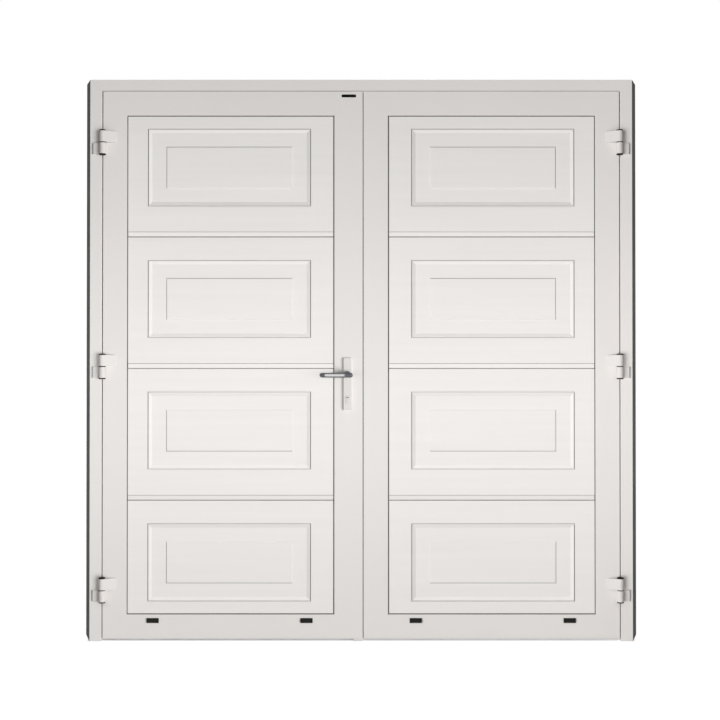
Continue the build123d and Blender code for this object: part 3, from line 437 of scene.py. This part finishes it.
@dataclass(frozen=True)
class RubberStrip(Finish):
    """Matt rubber with a fine speckle and a little dirt on it."""

    dust_scale: Scale = (14.0, 14.0, 6.0)
    gloss: Pair = (0.62, 0.85)
    shine: float = 0.2
    speckle_per_metre: float = 1400.0
    speckle_depth: float = 0.00005
    speckle_strength: float = 0.4
    edge: float = 0.0004

    def paint(self, sketch: ShaderSketch) -> None:
        """Feeds the shader with mottled colour, duller where it is dirtier, and the speckle."""
        # Random dust on the rubber, with no shade in it.
        dust_and_shade = sketch.ranged(sketch.noise(self.dust_scale, detail=5.0, roughness=0.6), 0.0, 1.0)
        sketch.feed("Base Color", sketch.blended(dust_and_shade, self.dark, self.light))
        sketch.feed("Roughness", sketch.ranged(dust_and_shade, *self.gloss, (0.0, 1.0)))
        sketch.constant("Specular IOR Level", self.shine)
        speckle = sketch.noise((self.speckle_per_metre,) * 3, detail=2.0)
        sketch.relief(speckle, self.speckle_depth, self.speckle_strength, self.edge)


@dataclass(frozen=True)
class MouldedPlastic(Finish):
    """Moulded plastic with a fine spark-eroded texture."""

    tone_per_metre: float = 40.0
    gloss: Pair = (0.5, 0.64)
    shine: float = 0.1
    speckle_per_metre: float = 1100.0
    speckle_depth: float = 0.00004
    speckle_strength: float = 0.4
    edge: float = 0.0005

    def paint(self, sketch: ShaderSketch) -> None:
        """Feeds the shader with uneven colour and the texture's gloss and relief."""
        tone = sketch.ranged(sketch.noise((self.tone_per_metre,) * 3, detail=3.0), 0.0, 1.0)
        sketch.feed("Base Color", sketch.blended(tone, self.dark, self.light))
        speckle = sketch.noise((self.speckle_per_metre,) * 3, detail=2.0)
        sketch.feed("Roughness", sketch.ranged(speckle, *self.gloss))
        sketch.constant("Specular IOR Level", self.shine)
        sketch.relief(speckle, self.speckle_depth, self.speckle_strength, self.edge)


@dataclass(frozen=True)
class BrushedMetal(Finish):
    """Metal with drawn brush lines along one axis and a soft smear of handling."""

    metallic: float
    gloss: Pair
    brush_scale: Scale
    brush_depth: float = 0.00002
    brush_strength: float = 0.3
    smear_per_metre: float = 22.0
    edge: float = 0.0005

    def paint(self, sketch: ShaderSketch) -> None:
        """Feeds the shader with the metal's colour and the brush lines."""
        brush = sketch.noise(self.brush_scale, detail=3.0, roughness=0.6)
        sketch.feed("Base Color", self.colour(sketch))
        sketch.constant("Metallic", self.metallic)
        sketch.feed("Roughness", sketch.ranged(brush, *self.gloss))
        sketch.relief(brush, self.brush_depth, self.brush_strength, self.edge)

    def colour(self, sketch: ShaderSketch) -> Any:
        """Colour socket of the smeared metal."""
        smear = sketch.ranged(sketch.noise((self.smear_per_metre,) * 3, detail=4.0), 0.0, 1.0)
        return sketch.blended(smear, self.dark, self.light)


@dataclass(frozen=True)
class KeyedPlug(BrushedMetal):
    """Brushed plug of the cylinder, near black as painted shade below its two end faces."""

    keyway_shade: Colour = (0.012, 0.012, 0.012)
    middle_y: float = -0.005
    face_band: Pair = (0.0404, 0.0409)

    def colour(self, sketch: ShaderSketch) -> Any:
        """Colour socket that turns from the painted shade to metal at the end faces."""
        away = sketch.off_middle(sketch.along("Y"), self.middle_y)
        # Painted shade below the end faces, so that the key way reads dark.
        return sketch.blended(sketch.ranged(away, 0.0, 1.0, self.face_band), self.keyway_shade, self.light)


@dataclass(frozen=True)
class PolishedBar(Finish):
    """Dark polished steel, worn bright along the front of its grip.

    The painted highlight band follows the distance of a point from the leaf's middle plane, and
    fades towards the heel and the toe of the grip.
    """

    middle_y: float = -0.005
    band: Pair = (0.0961, 0.0976)
    heel: Pair = (-0.068, -0.058)
    toe: Pair = (-0.139, -0.133)
    # Brightness range of the painted highlight over the brush lines.
    highlight_range: Pair = (0.88, 1.0)
    gloss: Pair = (0.3, 0.4)
    brush_scale: Scale = (6.0, 900.0, 900.0)
    brush_depth: float = 0.00002
    brush_strength: float = 0.25
    edge: float = 0.0004

    def paint(self, sketch: ShaderSketch) -> None:
        """Feeds the shader with the painted highlight band and the brush lines."""
        away = sketch.off_middle(sketch.along("Y"), self.middle_y)
        grip = sketch.ranged(away, 0.0, 1.0, self.band)
        reach = sketch.along("X")
        ends = sketch.maths(
            "MULTIPLY", sketch.ranged(reach, 1.0, 0.0, self.heel), sketch.ranged(reach, 0.0, 1.0, self.toe)
        )
        brush = sketch.noise(self.brush_scale, detail=3.0, roughness=0.6)
        # Painted highlight: a reflection of the lamps along the front of the grip.
        painted_highlight = sketch.maths("MULTIPLY", sketch.maths("MULTIPLY", grip, ends), sketch.ranged(brush, *self.highlight_range))
        sketch.feed("Base Color", sketch.blended(painted_highlight, self.dark, self.light))
        sketch.constant("Metallic", 1.0)
        sketch.feed("Roughness", sketch.ranged(brush, *self.gloss))
        sketch.relief(brush, self.brush_depth, self.brush_strength, self.edge)


class FinishBook:
    """Builds each finish once and hands it out by its slot, or by its node."""

    def __init__(self) -> None:
        """Builds every finish of the door."""
        brass = {
            "light": (0.66, 0.64, 0.60),
            "dark": (0.60, 0.58, 0.54),
            "metallic": 1.0,
            "gloss": (0.34, 0.46),
            "brush_scale": (300.0, 20.0, 300.0),
        }
        by_slot: dict[Slot, Finish] = {
            Slot.WHITE_COAT: PowderCoat(
                "white_powder_coat", light=(0.80, 0.77, 0.745), dark=(0.78, 0.75, 0.725)
            ),
            Slot.WHITE_PANEL: GrainedSheet(
                "white_grained_sheet", light=(0.85, 0.825, 0.80), dark=(0.825, 0.80, 0.775)
            ),
            Slot.DARK_RUBBER: RubberStrip(
                "dark_rubber", light=(0.112, 0.111, 0.108), dark=(0.078, 0.078, 0.079)
            ),
            Slot.BLACK_PLASTIC: MouldedPlastic(
                "black_plastic", light=(0.014, 0.013, 0.012), dark=(0.009, 0.009, 0.008)
            ),
            Slot.WHITE_PLASTIC: MouldedPlastic(
                "white_plastic", light=(0.79, 0.765, 0.74), dark=(0.76, 0.735, 0.71)
            ),
            Slot.MILL_ALUMINIUM: BrushedMetal(
                "mill_aluminium",
                light=(0.66, 0.66, 0.66),
                dark=(0.58, 0.58, 0.585),
                metallic=1.0,
                gloss=(0.30, 0.46),
                brush_scale=(3.0, 900.0, 900.0),
            ),
            Slot.SILVER_PLATE: BrushedMetal(
                "silver_plate",
                light=(0.69, 0.67, 0.65),
                dark=(0.66, 0.64, 0.62),
                metallic=0.1,
                gloss=(0.5, 0.62),
                brush_scale=(1200.0, 900.0, 8.0),
            ),
            Slot.DARK_STEEL: PolishedBar("dark_steel", light=(0.64, 0.64, 0.63), dark=(0.12, 0.12, 0.13)),
            Slot.BRIGHT_STEEL: BrushedMetal(
                "zinc_plated_steel",
                light=(0.60, 0.60, 0.59),
                dark=(0.52, 0.52, 0.51),
                metallic=1.0,
                gloss=(0.26, 0.42),
                brush_scale=(500.0, 500.0, 30.0),
            ),
            Slot.LOCK_BRASS: BrushedMetal("nickelled_brass", **brass),
        }
        self.by_slot = {slot: finish.build() for slot, finish in by_slot.items()}
        # Painted shade: a darker copy of the white coat on the hinge wings, so that their tilted faces don't read
        # brighter.
        shaded_hinge_coat = PowderCoat(
            "hinge_powder_coat_painted_shade", light=(0.69, 0.665, 0.645), dark=(0.67, 0.645, 0.625)
        ).build()
        self.by_node: dict[str, bpy.types.Material] = {
            "hinge_frame_wings_left": shaded_hinge_coat,
            "hinge_frame_wings_right": shaded_hinge_coat,
            "hinge_leaf_wings_active": shaded_hinge_coat,
            "hinge_leaf_wings_passive": shaded_hinge_coat,
            "cylinder_plug": KeyedPlug("keyed_plug", **brass).build(),
        }

    def of(self, slot: Slot) -> bpy.types.Material:
        """Gives the material of a slot."""
        return self.by_slot[slot]

    def dress(self, node: bpy.types.Object, slot: Slot) -> None:
        """Puts a slot's material on a node that was carried over.

        Args:
            node: The node's object.
            slot: The slot of its finish.
        """
        node.data.materials.clear()
        node.data.materials.append(self.by_node.get(node.name, self.of(slot)))


def new_object(
    name: str, points: np.ndarray, faces: list[list[int]], material: bpy.types.Material
) -> bpy.types.Object:
    """Makes an object from points and faces.

    Args:
        name: Name of the object.
        points: Array of shape (n, 3) in metres.
        faces: Vertex numbers of each face.
        material: Finish of the object.

    Returns:
        The new object, at the origin and linked to the scene.
    """
    mesh = bpy.data.meshes.new(name)
    mesh.from_pydata(points.tolist(), [], faces)
    mesh.update()
    mesh.materials.append(material)
    thing = bpy.data.objects.new(name, mesh)
    bpy.context.scene.collection.objects.link(thing)
    return thing


def closed_surface(
    name: str, grid: np.ndarray, material: bpy.types.Material, smooth: bool = True
) -> bpy.types.Object:
    """Makes a closed piece from rings of points.

    Quad (i, j) joins points j and j + 1 of ring i with those of ring i + 1, and each end
    ring closes in a fan on the mean of its points. Where the sum of (a x b) . c over the
    triangles is negative, every face is turned over, so that all look outwards.

    Args:
        name: Name of the piece.
        grid: Array of shape (rings, points around, 3) in metres.
        material: Finish of the piece.
        smooth: Whether the faces are shaded smooth.

    Returns:
        The new object, at the origin and linked to the scene.
    """
    rings, around = grid.shape[:2]
    points = np.concatenate([grid.reshape(-1, 3), grid[[0, -1]].mean(axis=1)])
    i, j = np.meshgrid(np.arange(rings - 1), np.arange(around), indexing="ij")
    low, high = i * around, (i + 1) * around
    k = (j + 1) % around
    quads = np.stack([low + j, low + k, high + k, high + j], axis=-1).reshape(-1, 4)
    one = np.arange(around)
    two = (one + 1) % around
    last = (rings - 1) * around
    hub = np.full_like(one, rings * around)
    fans = np.concatenate([np.stack([two, one, hub], axis=-1), np.stack([last + one, last + two, hub + 1], axis=-1)])
    triangles = np.concatenate([quads[:, [0, 1, 2]], quads[:, [0, 2, 3]], fans])
    a, b, c = (points[triangles[:, corner]] for corner in range(3))
    turn = -1 if np.einsum("ij,ij->", np.cross(a, b), c) < 0.0 else 1
    piece = new_object(name, points, quads[:, ::turn].tolist() + fans[:, ::turn].tolist(), material)
    piece.data.polygons.foreach_set("use_smooth", np.full(len(piece.data.polygons), smooth))
    LOG.info("built %s", name)
    return piece


@dataclass
class SizedPart:
    """Base of the sub-assemblies: the loaded nodes and the finishes."""

    nodes: dict[str, bpy.types.Object]
    finishes: FinishBook

    def dress_all(self, table: dict[str, Slot]) -> None:
        """Puts the finish of each named node on it.

        Args:
            table: Node names with their slots.
        """
        for node, slot in table.items():
            self.finishes.dress(self.nodes[node], slot)
            LOG.info("dressed %s with %s", node, slot.value)


@dataclass
class DoorFrame(SizedPart):
    """Head, jambs, threshold, gasket, wall seals and the fixed halves of the hinges."""

    screw_radius: float = 4.2 * MM
    screw_rise: float = 0.35 * MM
    screw_setback: float = 33.0 * MM
    tread_height: float = 6.0 * MM
    screw_places: tuple[float, ...] = (-0.93, -0.56, -0.19, 0.19, 0.56, 0.93)

    def dress(self) -> None:
        """Puts the finishes on the frame's nodes."""
        self.dress_all(
            {
                "frame_head": Slot.WHITE_COAT,
                "frame_jamb_left": Slot.WHITE_COAT,
                "frame_jamb_right": Slot.WHITE_COAT,
                "threshold": Slot.MILL_ALUMINIUM,
                "frame_gasket": Slot.DARK_RUBBER,
                # The dark rubber wall seals also stand in for the shaded outer sides of the jambs: part seal, part
                # painted shade.
                "wall_seal_left": Slot.DARK_RUBBER,
                "wall_seal_right": Slot.DARK_RUBBER,
                "hinge_frame_wings_left": Slot.WHITE_COAT,
                "hinge_frame_wings_right": Slot.WHITE_COAT,
                "hinge_pins": Slot.BRIGHT_STEEL,
                "hinge_washers": Slot.BLACK_PLASTIC,
                "hinge_bottom_caps": Slot.BLACK_PLASTIC,
            }
        )

    def add_screws(self) -> None:
        """Adds the countersunk screws that hold the threshold down."""
        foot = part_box("threshold")[0].z
        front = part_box("frame_head")[0].y
        for number, place in enumerate(self.screw_places):
            head = ScrewHead(self.screw_radius, self.screw_rise)
            piece = head.build(
                f"threshold_screw_{number}",
                (place, front + self.screw_setback, foot + self.tread_height),
                Facing.UP,
                self.finishes.of(Slot.BRIGHT_STEEL),
            )
            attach(piece, "frame")


@dataclass
class ScrewHead:
    """Low raised screw head with a cross recess."""

    radius: float
    rise: float
    hub_share: float = 0.04
    recess_share: float = 0.62
    recess_depth: float = 0.8
    recess_wall: float = 0.15
    arm_share: float = 0.15
    arm_flank: float = 0.4
    rings: int = 18
    around: int = 64

    def build(
        self,
        name: str,
        place: Sequence[float],
        facing: Facing,
        material: bpy.types.Material,
    ) -> bpy.types.Object:
        """Builds the head on a surface.

        With r from the hub to 1 and angle t, the height is rise * (1 - r^4) less the
        recess, which is a share of the rise deep where the smaller of |r cos t| and
        |r sin t| is under the arm's half width and r is under the recess's reach, with
        sloped flanks.

        Args:
            name: Name of the piece.
            place: Centre of the head's seat, in metres.
            facing: Way that the head looks.
            material: Finish of the head.

        Returns:
            The piece.
        """
        r = np.linspace(self.hub_share, 1.0, self.rings)[:, None]
        t = np.linspace(0.0, 2.0 * math.pi, self.around, endpoint=False)[None, :]
        across, along = r * np.cos(t), r * np.sin(t)
        arm = np.minimum(np.abs(across), np.abs(along))
        flank = np.clip((self.arm_share - arm) / (self.arm_flank * self.arm_share), 0.0, 1.0)
        reach = np.clip((self.recess_share - r) / (self.recess_wall * self.recess_share), 0.0, 1.0)
        height = self.rise * (1.0 - r**4) - self.recess_depth * self.rise * flank * reach
        normal = np.array(facing.value)
        first = np.array((0.0, 1.0, 0.0))
        second = np.cross(normal, first)
        grid = (
            np.array(place)
            + self.radius * across[..., None] * first
            + self.radius * along[..., None] * second
            + height[..., None] * normal
        )
        return closed_surface(name, grid, material)


@dataclass
class DoorLeaf(SizedPart):
    """One leaf: stiles, rails, panel sections, beads, seals and its hinge halves."""

    side: LeafSide

    def dress(self) -> None:
        """Puts the finishes on the leaf's nodes."""
        word = self.side.name.lower()
        lock_stile = "lock" if self.side is LeafSide.ACTIVE else "meeting"
        table = {
            f"{word}_hinge_stile": Slot.WHITE_COAT,
            f"{word}_{lock_stile}_stile": Slot.WHITE_COAT,
            f"{word}_top_rail": Slot.WHITE_COAT,
            f"{word}_bottom_rail": Slot.WHITE_COAT,
            f"{word}_side_beads": Slot.WHITE_COAT,
            f"{word}_end_beads": Slot.WHITE_COAT,
            f"{word}_panel_gasket": Slot.DARK_RUBBER,
            f"{word}_bottom_seal": Slot.DARK_RUBBER,
            f"{word}_drain_caps": Slot.BLACK_PLASTIC,
            f"hinge_leaf_wings_{word}": Slot.WHITE_COAT,
            f"hinge_top_caps_{word}": Slot.BLACK_PLASTIC,
        }
        for row in PanelRow:
            table[f"{word}_panel_{row.value}"] = Slot.WHITE_PANEL
        if self.side is LeafSide.ACTIVE:
            table["active_meeting_seal"] = Slot.DARK_RUBBER
            table["active_end_cap"] = Slot.WHITE_PLASTIC
        self.dress_all(table)


@dataclass
class LockSet(SizedPart):
    """Plates, levers, lock case, bolts, cylinder, keep and the flush bolts."""

    screw_radius: float = 3.8 * MM
    screw_rise: float = 0.4 * MM
    screw_margin: float = 11.0 * MM

    def dress(self) -> None:
        """Puts the finishes on the lock's nodes."""
        self.dress_all(
            {
                "outside_plate": Slot.SILVER_PLATE,
                "inside_plate": Slot.SILVER_PLATE,
                "plate_screws": Slot.BRIGHT_STEEL,
                "lock_case": Slot.BRIGHT_STEEL,
                "cylinder_body": Slot.LOCK_BRASS,
                "outside_lever": Slot.DARK_STEEL,
                "inside_lever": Slot.DARK_STEEL,
                "lever_spindle": Slot.BRIGHT_STEEL,
                "lock_follower": Slot.BRIGHT_STEEL,
                "latch_bolt": Slot.BRIGHT_STEEL,
                "dead_bolt": Slot.BRIGHT_STEEL,
                "cylinder_plug": Slot.LOCK_BRASS,
                "keep_plate": Slot.BRIGHT_STEEL,
                "top_flush_bolt": Slot.BRIGHT_STEEL,
                "bottom_flush_bolt": Slot.BRIGHT_STEEL,
            }
        )

    def add_screws(self) -> None:
        """Adds the screws of the forend and of the keep plate."""
        rows = (
            ("forend_screw", "lock_case", "active_leaf", Facing.RIGHT),
            ("keep_screw", "keep_plate", "passive_leaf", Facing.LEFT),
        )
        for name, node, body, facing in rows:
            low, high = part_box(node)
            face_x = high.x if facing is Facing.RIGHT else low.x
            mid_y = 0.5 * (low.y + high.y)
            for number, level in enumerate((low.z + self.screw_margin, high.z - self.screw_margin)):
                piece = ScrewHead(self.screw_radius, self.screw_rise).build(
                    f"{name}_{number}", (face_x, mid_y, level), facing, self.finishes.of(Slot.BRIGHT_STEEL)
                )
                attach(piece, body)


@dataclass
class BadgePlate:
    """Small bare dark plate on the front of the active leaf's top corner."""

    finishes: FinishBook
    middle_x: float = -46.9 * MM
    middle_z: float = 2070.2 * MM
    width: float = 55.0 * MM
    height: float = 11.0 * MM
    thickness: float = 1.2 * MM
    corner_power: float = 9.0
    around: int = 160
    reach_shares: tuple[float, ...] = (0.02, 0.45, 0.86, 0.93, 0.97, 0.99, 1.0, 1.0)
    rise_shares: tuple[float, ...] = (1.0, 1.0, 1.0, 0.98, 0.9, 0.76, 0.55, 0.0)

    def build(self) -> bpy.types.Object:
        """Builds the plate.

        The outline is a superellipse of power n: x = a sgn(cos t) |cos t|^(2/n),
        z = b sgn(sin t) |sin t|^(2/n). Each ring is the outline times its reach share,
        at its rise share of the thickness in front of the leaf.

        Returns:
            The piece, riding on the active leaf.
        """
        face_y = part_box("active_top_rail")[0].y
        t = np.linspace(0.0, 2.0 * math.pi, self.around, endpoint=False)
        power = 2.0 / self.corner_power
        x = 0.5 * self.width * np.sign(np.cos(t)) * np.abs(np.cos(t)) ** power
        z = 0.5 * self.height * np.sign(np.sin(t)) * np.abs(np.sin(t)) ** power
        reach = np.array(self.reach_shares)[:, None]
        rise = np.array(self.rise_shares)[:, None]
        grid = np.stack(
            [
                self.middle_x + reach * x[None, :],
                np.broadcast_to(face_y - rise * self.thickness, (len(reach), self.around)),
                self.middle_z + reach * z[None, :],
            ],
            axis=-1,
        )
        piece = closed_surface("badge_plate", grid, self.finishes.of(Slot.BLACK_PLASTIC), smooth=False)
        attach(piece, "active_leaf")
        return piece


@dataclass
class MeetingShadeLip:
    """Low dark rubber bead on the passive leaf's edge, opposite the meeting seal: part seal, part painted shade in the
    gap.
    """

    finishes: FinishBook
    reach: float = 0.85 * MM
    half_width: float = 2.0 * MM
    end_length: float = 3.0 * MM
    end_share: float = 0.995
    end_rings: int = 12
    around: int = 48

    def build(self) -> bpy.types.Object:
        """Builds the bead.

        The section is a half ellipse on the leaf's edge: x = edge - reach sin t and
        y = middle - half width cos t, with t from 0 to pi. Over each end's length, u
        runs from 0 to nearly 1 and the section shrinks by the root of 1 - u^2.

        Returns:
            The piece, riding on the passive leaf.
        """
        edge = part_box("passive_meeting_stile")[0].x
        low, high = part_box("active_meeting_seal")
        t = np.linspace(0.0, math.pi, self.around)[None, :]
        u = np.linspace(self.end_share, 0.0, self.end_rings)
        shrink = np.sqrt(1.0 - np.concatenate([u, u[::-1]]) ** 2)[:, None]
        foot = low.z + self.end_length * (1.0 - u)
        level = np.concatenate([foot, low.z + high.z - foot[::-1]])[:, None]
        grid = np.stack(
            [
                edge - self.reach * shrink * np.sin(t),
                0.5 * (low.y + high.y) - self.half_width * shrink * np.cos(t),
                np.broadcast_to(level, (len(shrink), self.around)),
            ],
            axis=-1,
        )
        piece = closed_surface("passive_meeting_shade_lip", grid, self.finishes.of(Slot.DARK_RUBBER))
        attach(piece, "passive_leaf")
        return piece


@dataclass
class Studio:
    """Floor, background, lamps and camera."""

    nodes: dict[str, bpy.types.Object]
    picture_width: float = 720.0
    scale: float = 3.795 * MM
    middle_px: float = 361.15
    floor_px: float = 641.0
    front_y: float = -35.0 * MM
    camera_distance: float = 4.0
    camera_reach: float = 200.0
    sensor_width: float = 36.0
    tilt: float = 0.0072
    world_fill: float = 0.13
    sun_level: float = 1.675
    sun_slope_x: float = 1.0
    sun_slope_z: float = 0.2
    sun_angle: float = 36.0
    overlapping: tuple[str, ...] = ("active_lock_stile", "active_meeting_seal")
    passive_fittings: tuple[str, ...] = ("keep_plate", "top_flush_bolt", "bottom_flush_bolt")
    row_slope_x: float = 0.75
    row_angle: float = 8.0
    row_slopes_z: tuple[float, ...] = (0.5, 0.38, -0.35, -0.4)
    strip_size: Pair = (4.5, 0.4)
    strip_power: float = 11.6
    strip_distance: float = 1.1
    strip_height: float = 0.95
    back_power: float = 330.0
    back_size: Pair = (10.0, 3.0)
    back_place: Point = (0.0, 2.8, 4.2)
    floor_half: float = 30.0
    floor_tone: float = 0.6
    floor_bounce: float = 0.25
    floor_glow: float = 0.62
    floor_sun: Point = (0.0, -0.35, 1.0)
    floor_sun_angle: float = 20.0

    def build_floor(self) -> None:
        """Lays the plain pale floor and the sun that draws the door's shadow on it."""
        half = self.floor_half
        corners = np.array([[-half, -half, 0.0], [half, -half, 0.0], [half, half, 0.0], [-half, half, 0.0]])
        material = bpy.data.materials.new("pale_floor")
        material.use_nodes = True
        tree = material.node_tree
        tree.nodes.clear()
        output = tree.nodes.new("ShaderNodeOutputMaterial")
        matt = tree.nodes.new("ShaderNodeBsdfDiffuse")
        tone = tree.nodes.new("ShaderNodeMath")
        tone.operation = "ADD"
        tone.inputs[1].default_value = self.floor_bounce
        tree.links.new(self.seen_rays(tree, self.floor_tone - self.floor_bounce), tone.inputs[0])
        tree.links.new(tone.outputs[0], matt.inputs["Color"])
        glow = tree.nodes.new("ShaderNodeEmission")
        tree.links.new(self.seen_rays(tree, self.floor_glow), glow.inputs["Strength"])
        both = tree.nodes.new("ShaderNodeAddShader")
        tree.links.new(matt.outputs[0], both.inputs[0])
        tree.links.new(glow.outputs[0], both.inputs[1])
        tree.links.new(both.outputs[0], output.inputs["Surface"])
        floor = new_object("studio_floor", corners, [[0, 1, 2, 3]], material)
        floor.visible_shadow = False
        lit = bpy.data.collections.new("lit_floor")
        lit.objects.link(floor)
        self.sun("sun_floor", self.floor_sun, self.floor_sun_angle, lit, self.group("shading_floor", list(self.nodes)))

    @staticmethod
    def seen_rays(tree: Any, level: float) -> Any:
        """Level for camera, glossy and transmission rays, 0 for the others.

        Args:
            tree: Node tree to add the nodes to.
            level: Value for the seen rays.

        Returns:
            The value socket.
        """
        path = tree.nodes.new("ShaderNodeLightPath")
        seen = path.outputs["Is Camera Ray"]
        for ray in ("Is Glossy Ray", "Is Transmission Ray"):
            either = tree.nodes.new("ShaderNodeMath")
            either.operation = "MAXIMUM"
            tree.links.new(seen, either.inputs[0])
            tree.links.new(path.outputs[ray], either.inputs[1])
            seen = either.outputs[0]
        scaled = tree.nodes.new("ShaderNodeMath")
        scaled.operation = "MULTIPLY"
        scaled.inputs[1].default_value = level
        tree.links.new(seen, scaled.inputs[0])
        return scaled.outputs[0]

    def build_world(self) -> None:
        """White background for seen rays and a soft even fill for the rest."""
        world = bpy.data.worlds.new("studio")
        world.use_nodes = True
        tree = world.node_tree
        tree.nodes.clear()
        output = tree.nodes.new("ShaderNodeOutputWorld")
        fill = tree.nodes.new("ShaderNodeBackground")
        fill.inputs["Color"].default_value = WHITE
        fill.inputs["Strength"].default_value = self.world_fill
        seen = tree.nodes.new("ShaderNodeBackground")
        seen.inputs["Color"].default_value = WHITE
        seen.inputs["Strength"].default_value = 1.0
        mix = tree.nodes.new("ShaderNodeMixShader")
        tree.links.new(self.seen_rays(tree, 1.0), mix.inputs[0])
        tree.links.new(fill.outputs[0], mix.inputs[1])
        tree.links.new(seen.outputs[0], mix.inputs[2])
        tree.links.new(mix.outputs[0], output.inputs["Surface"])
        bpy.context.scene.world = world

    @staticmethod
    def lamp(name: str, kind: str, place: Sequence[float], aim: Sequence[float]) -> bpy.types.Object:
        """Adds a lamp that looks from its place to a point.

        Args:
            name: Name of the lamp.
            kind: SUN or AREA.
            place: Where it stands.
            aim: What it looks at.

        Returns:
            The lamp's object.
        """
        data = bpy.data.lights.new(name, kind)
        lamp = bpy.data.objects.new(name, data)
        bpy.context.scene.collection.objects.link(lamp)
        start = np.array(place, float)
        toward = np.array(aim, float) - start
        flat = math.hypot(toward[0], toward[1])
        lamp.location = tuple(start)
        lamp.rotation_euler = (
            math.atan2(flat, -toward[2]),
            0.0,
            math.atan2(toward[1], toward[0]) - 0.5 * math.pi,
        )
        lamp.visible_camera = False
        return lamp

    def half_of(self, name: str) -> LeafSide:
        """The half of the door that a node belongs to for its light."""
        right = name.startswith("passive") or name.endswith(("_right", "_passive"))
        return LeafSide.PASSIVE if right or name in self.passive_fittings else LeafSide.ACTIVE

    def group(self, name: str, members: Sequence[str]) -> bpy.types.Collection:
        """Collects nodes for the light linking.

        Args:
            name: Name of the collection.
            members: Names of its nodes.

        Returns:
            The collection.
        """
        collection = bpy.data.collections.new(name)
        for member in members:
            collection.objects.link(self.nodes[member])
        return collection

    def sun(
        self,
        name: str,
        toward: Sequence[float],
        angle: float,
        lit: bpy.types.Collection,
        shading: bpy.types.Collection,
    ) -> None:
        """Adds a sun that gives the sun level to faces that look forward, or up.

        Args:
            name: Name of the sun.
            toward: Where the sun stands, with 1 for its distance forward, or up.
            angle: Angular size in degrees.
            lit: Nodes that it lights.
            shading: Nodes that cast its shadows.
        """
        sun = self.lamp(name, "SUN", toward, (0.0, 0.0, 0.0))
        sun.data.energy = self.sun_level * math.hypot(*toward)
        sun.data.angle = math.radians(angle)
        sun.light_linking.receiver_collection = lit
        sun.light_linking.blocker_collection = shading

    def soft_lamp(
        self, name: str, size: Pair, power: float, place: Sequence[float], aim: Sequence[float]
    ) -> bpy.types.Object:
        """Adds a rectangular soft lamp.

        Args:
            name: Name of the lamp.
            size: Its width and height.
            power: Its power in watts.
            place: Where it stands.
            aim: What it looks at.

        Returns:
            The lamp's object.
        """
        lamp = self.lamp(name, "AREA", place, aim)
        lamp.data.shape = "RECTANGLE"
        lamp.data.size, lamp.data.size_y = size
        lamp.data.energy = power
        return lamp

    def build_lamps(self) -> None:
        """Mirrored suns for the two halves and their panels, a strip in front and a wide soft lamp behind."""
        for side in LeafSide:
            word = side.name.lower()
            own = [name for name in self.nodes if self.half_of(name) is side]
            over = self.overlapping if side is LeafSide.PASSIVE else ()
            everything = self.group(f"shading_{word}", [*own, *over])
            fixed = self.group(f"row_shading_{word}", [name for name in own if "lever" not in name])
            panels = [f"{word}_panel_{row.value}" for row in PanelRow]
            plain = self.group(f"lit_{word}", [name for name in own if name not in panels])
            slope = (-side.value * self.sun_slope_x, -1.0, -self.sun_slope_z)
            self.sun(f"sun_{word}", slope, self.sun_angle, plain, everything)
            for row, panel, slope_z in zip(PanelRow, panels, self.row_slopes_z):
                slope = (-side.value * self.row_slope_x, -1.0, -slope_z)
                lit = self.group(f"lit_{word}_{row.value}", [panel])
                self.sun(f"sun_{word}_{row.value}", slope, self.row_angle, lit, fixed)
        before = (0.0, self.front_y - self.strip_distance, self.strip_height)
        front_aim = (0.0, self.front_y, self.strip_height)
        strip = self.soft_lamp("front_strip", self.strip_size, self.strip_power, before, front_aim)
        strip.visible_glossy = False
        back_aim = (0.0, 0.0, self.strip_height)
        back = self.soft_lamp("back_panel", self.back_size, self.back_power, self.back_place, back_aim)
        back.light_linking.receiver_collection = self.group("lit_back", list(self.nodes))

    def build_camera(self) -> None:
        """Camera square to the front, placed from the photograph's scale and middle."""
        data = bpy.data.cameras.new("front_camera")
        camera = bpy.data.objects.new("front_camera", data)
        bpy.context.scene.collection.objects.link(camera)
        half = 0.5 * self.picture_width
        span = self.picture_width * self.scale
        camera.location = (
            (half - self.middle_px) * self.scale,
            self.front_y - self.camera_distance,
            (self.floor_px - half) * self.scale,
        )
        camera.rotation_euler = (0.5 * math.pi + self.tilt, 0.0, 0.0)
        data.sensor_fit = "HORIZONTAL"
        data.sensor_width = self.sensor_width
        data.lens = self.sensor_width * self.camera_distance / span
        data.shift_y = -math.tan(self.tilt) * self.camera_distance / span
        data.clip_end = self.camera_reach
        data.dof.use_dof = False
        bpy.context.scene.camera = camera

    def build(self) -> None:
        """Builds the whole studio."""
        bpy.context.scene.view_settings.view_transform = "Standard"
        self.build_floor()
        self.build_world()
        self.build_lamps()
        self.build_camera()
        LOG.info("built the studio")


def main() -> None:
    """Loads the frame, dresses it, adds the trim and sets up the picture."""
    logging.basicConfig(level=logging.INFO, format="%(name)s: %(message)s")
    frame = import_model()
    finishes = FinishBook()
    nodes = frame["nodes"]
    door_frame = DoorFrame(nodes, finishes)
    door_frame.dress()
    door_frame.add_screws()
    for side in LeafSide:
        DoorLeaf(nodes, finishes, side).dress()
    lock = LockSet(nodes, finishes)
    lock.dress()
    lock.add_screws()
    BadgePlate(finishes).build()
    MeetingShadeLip(finishes).build()
    Studio(nodes).build()


if __name__ == "__main__":
    main()
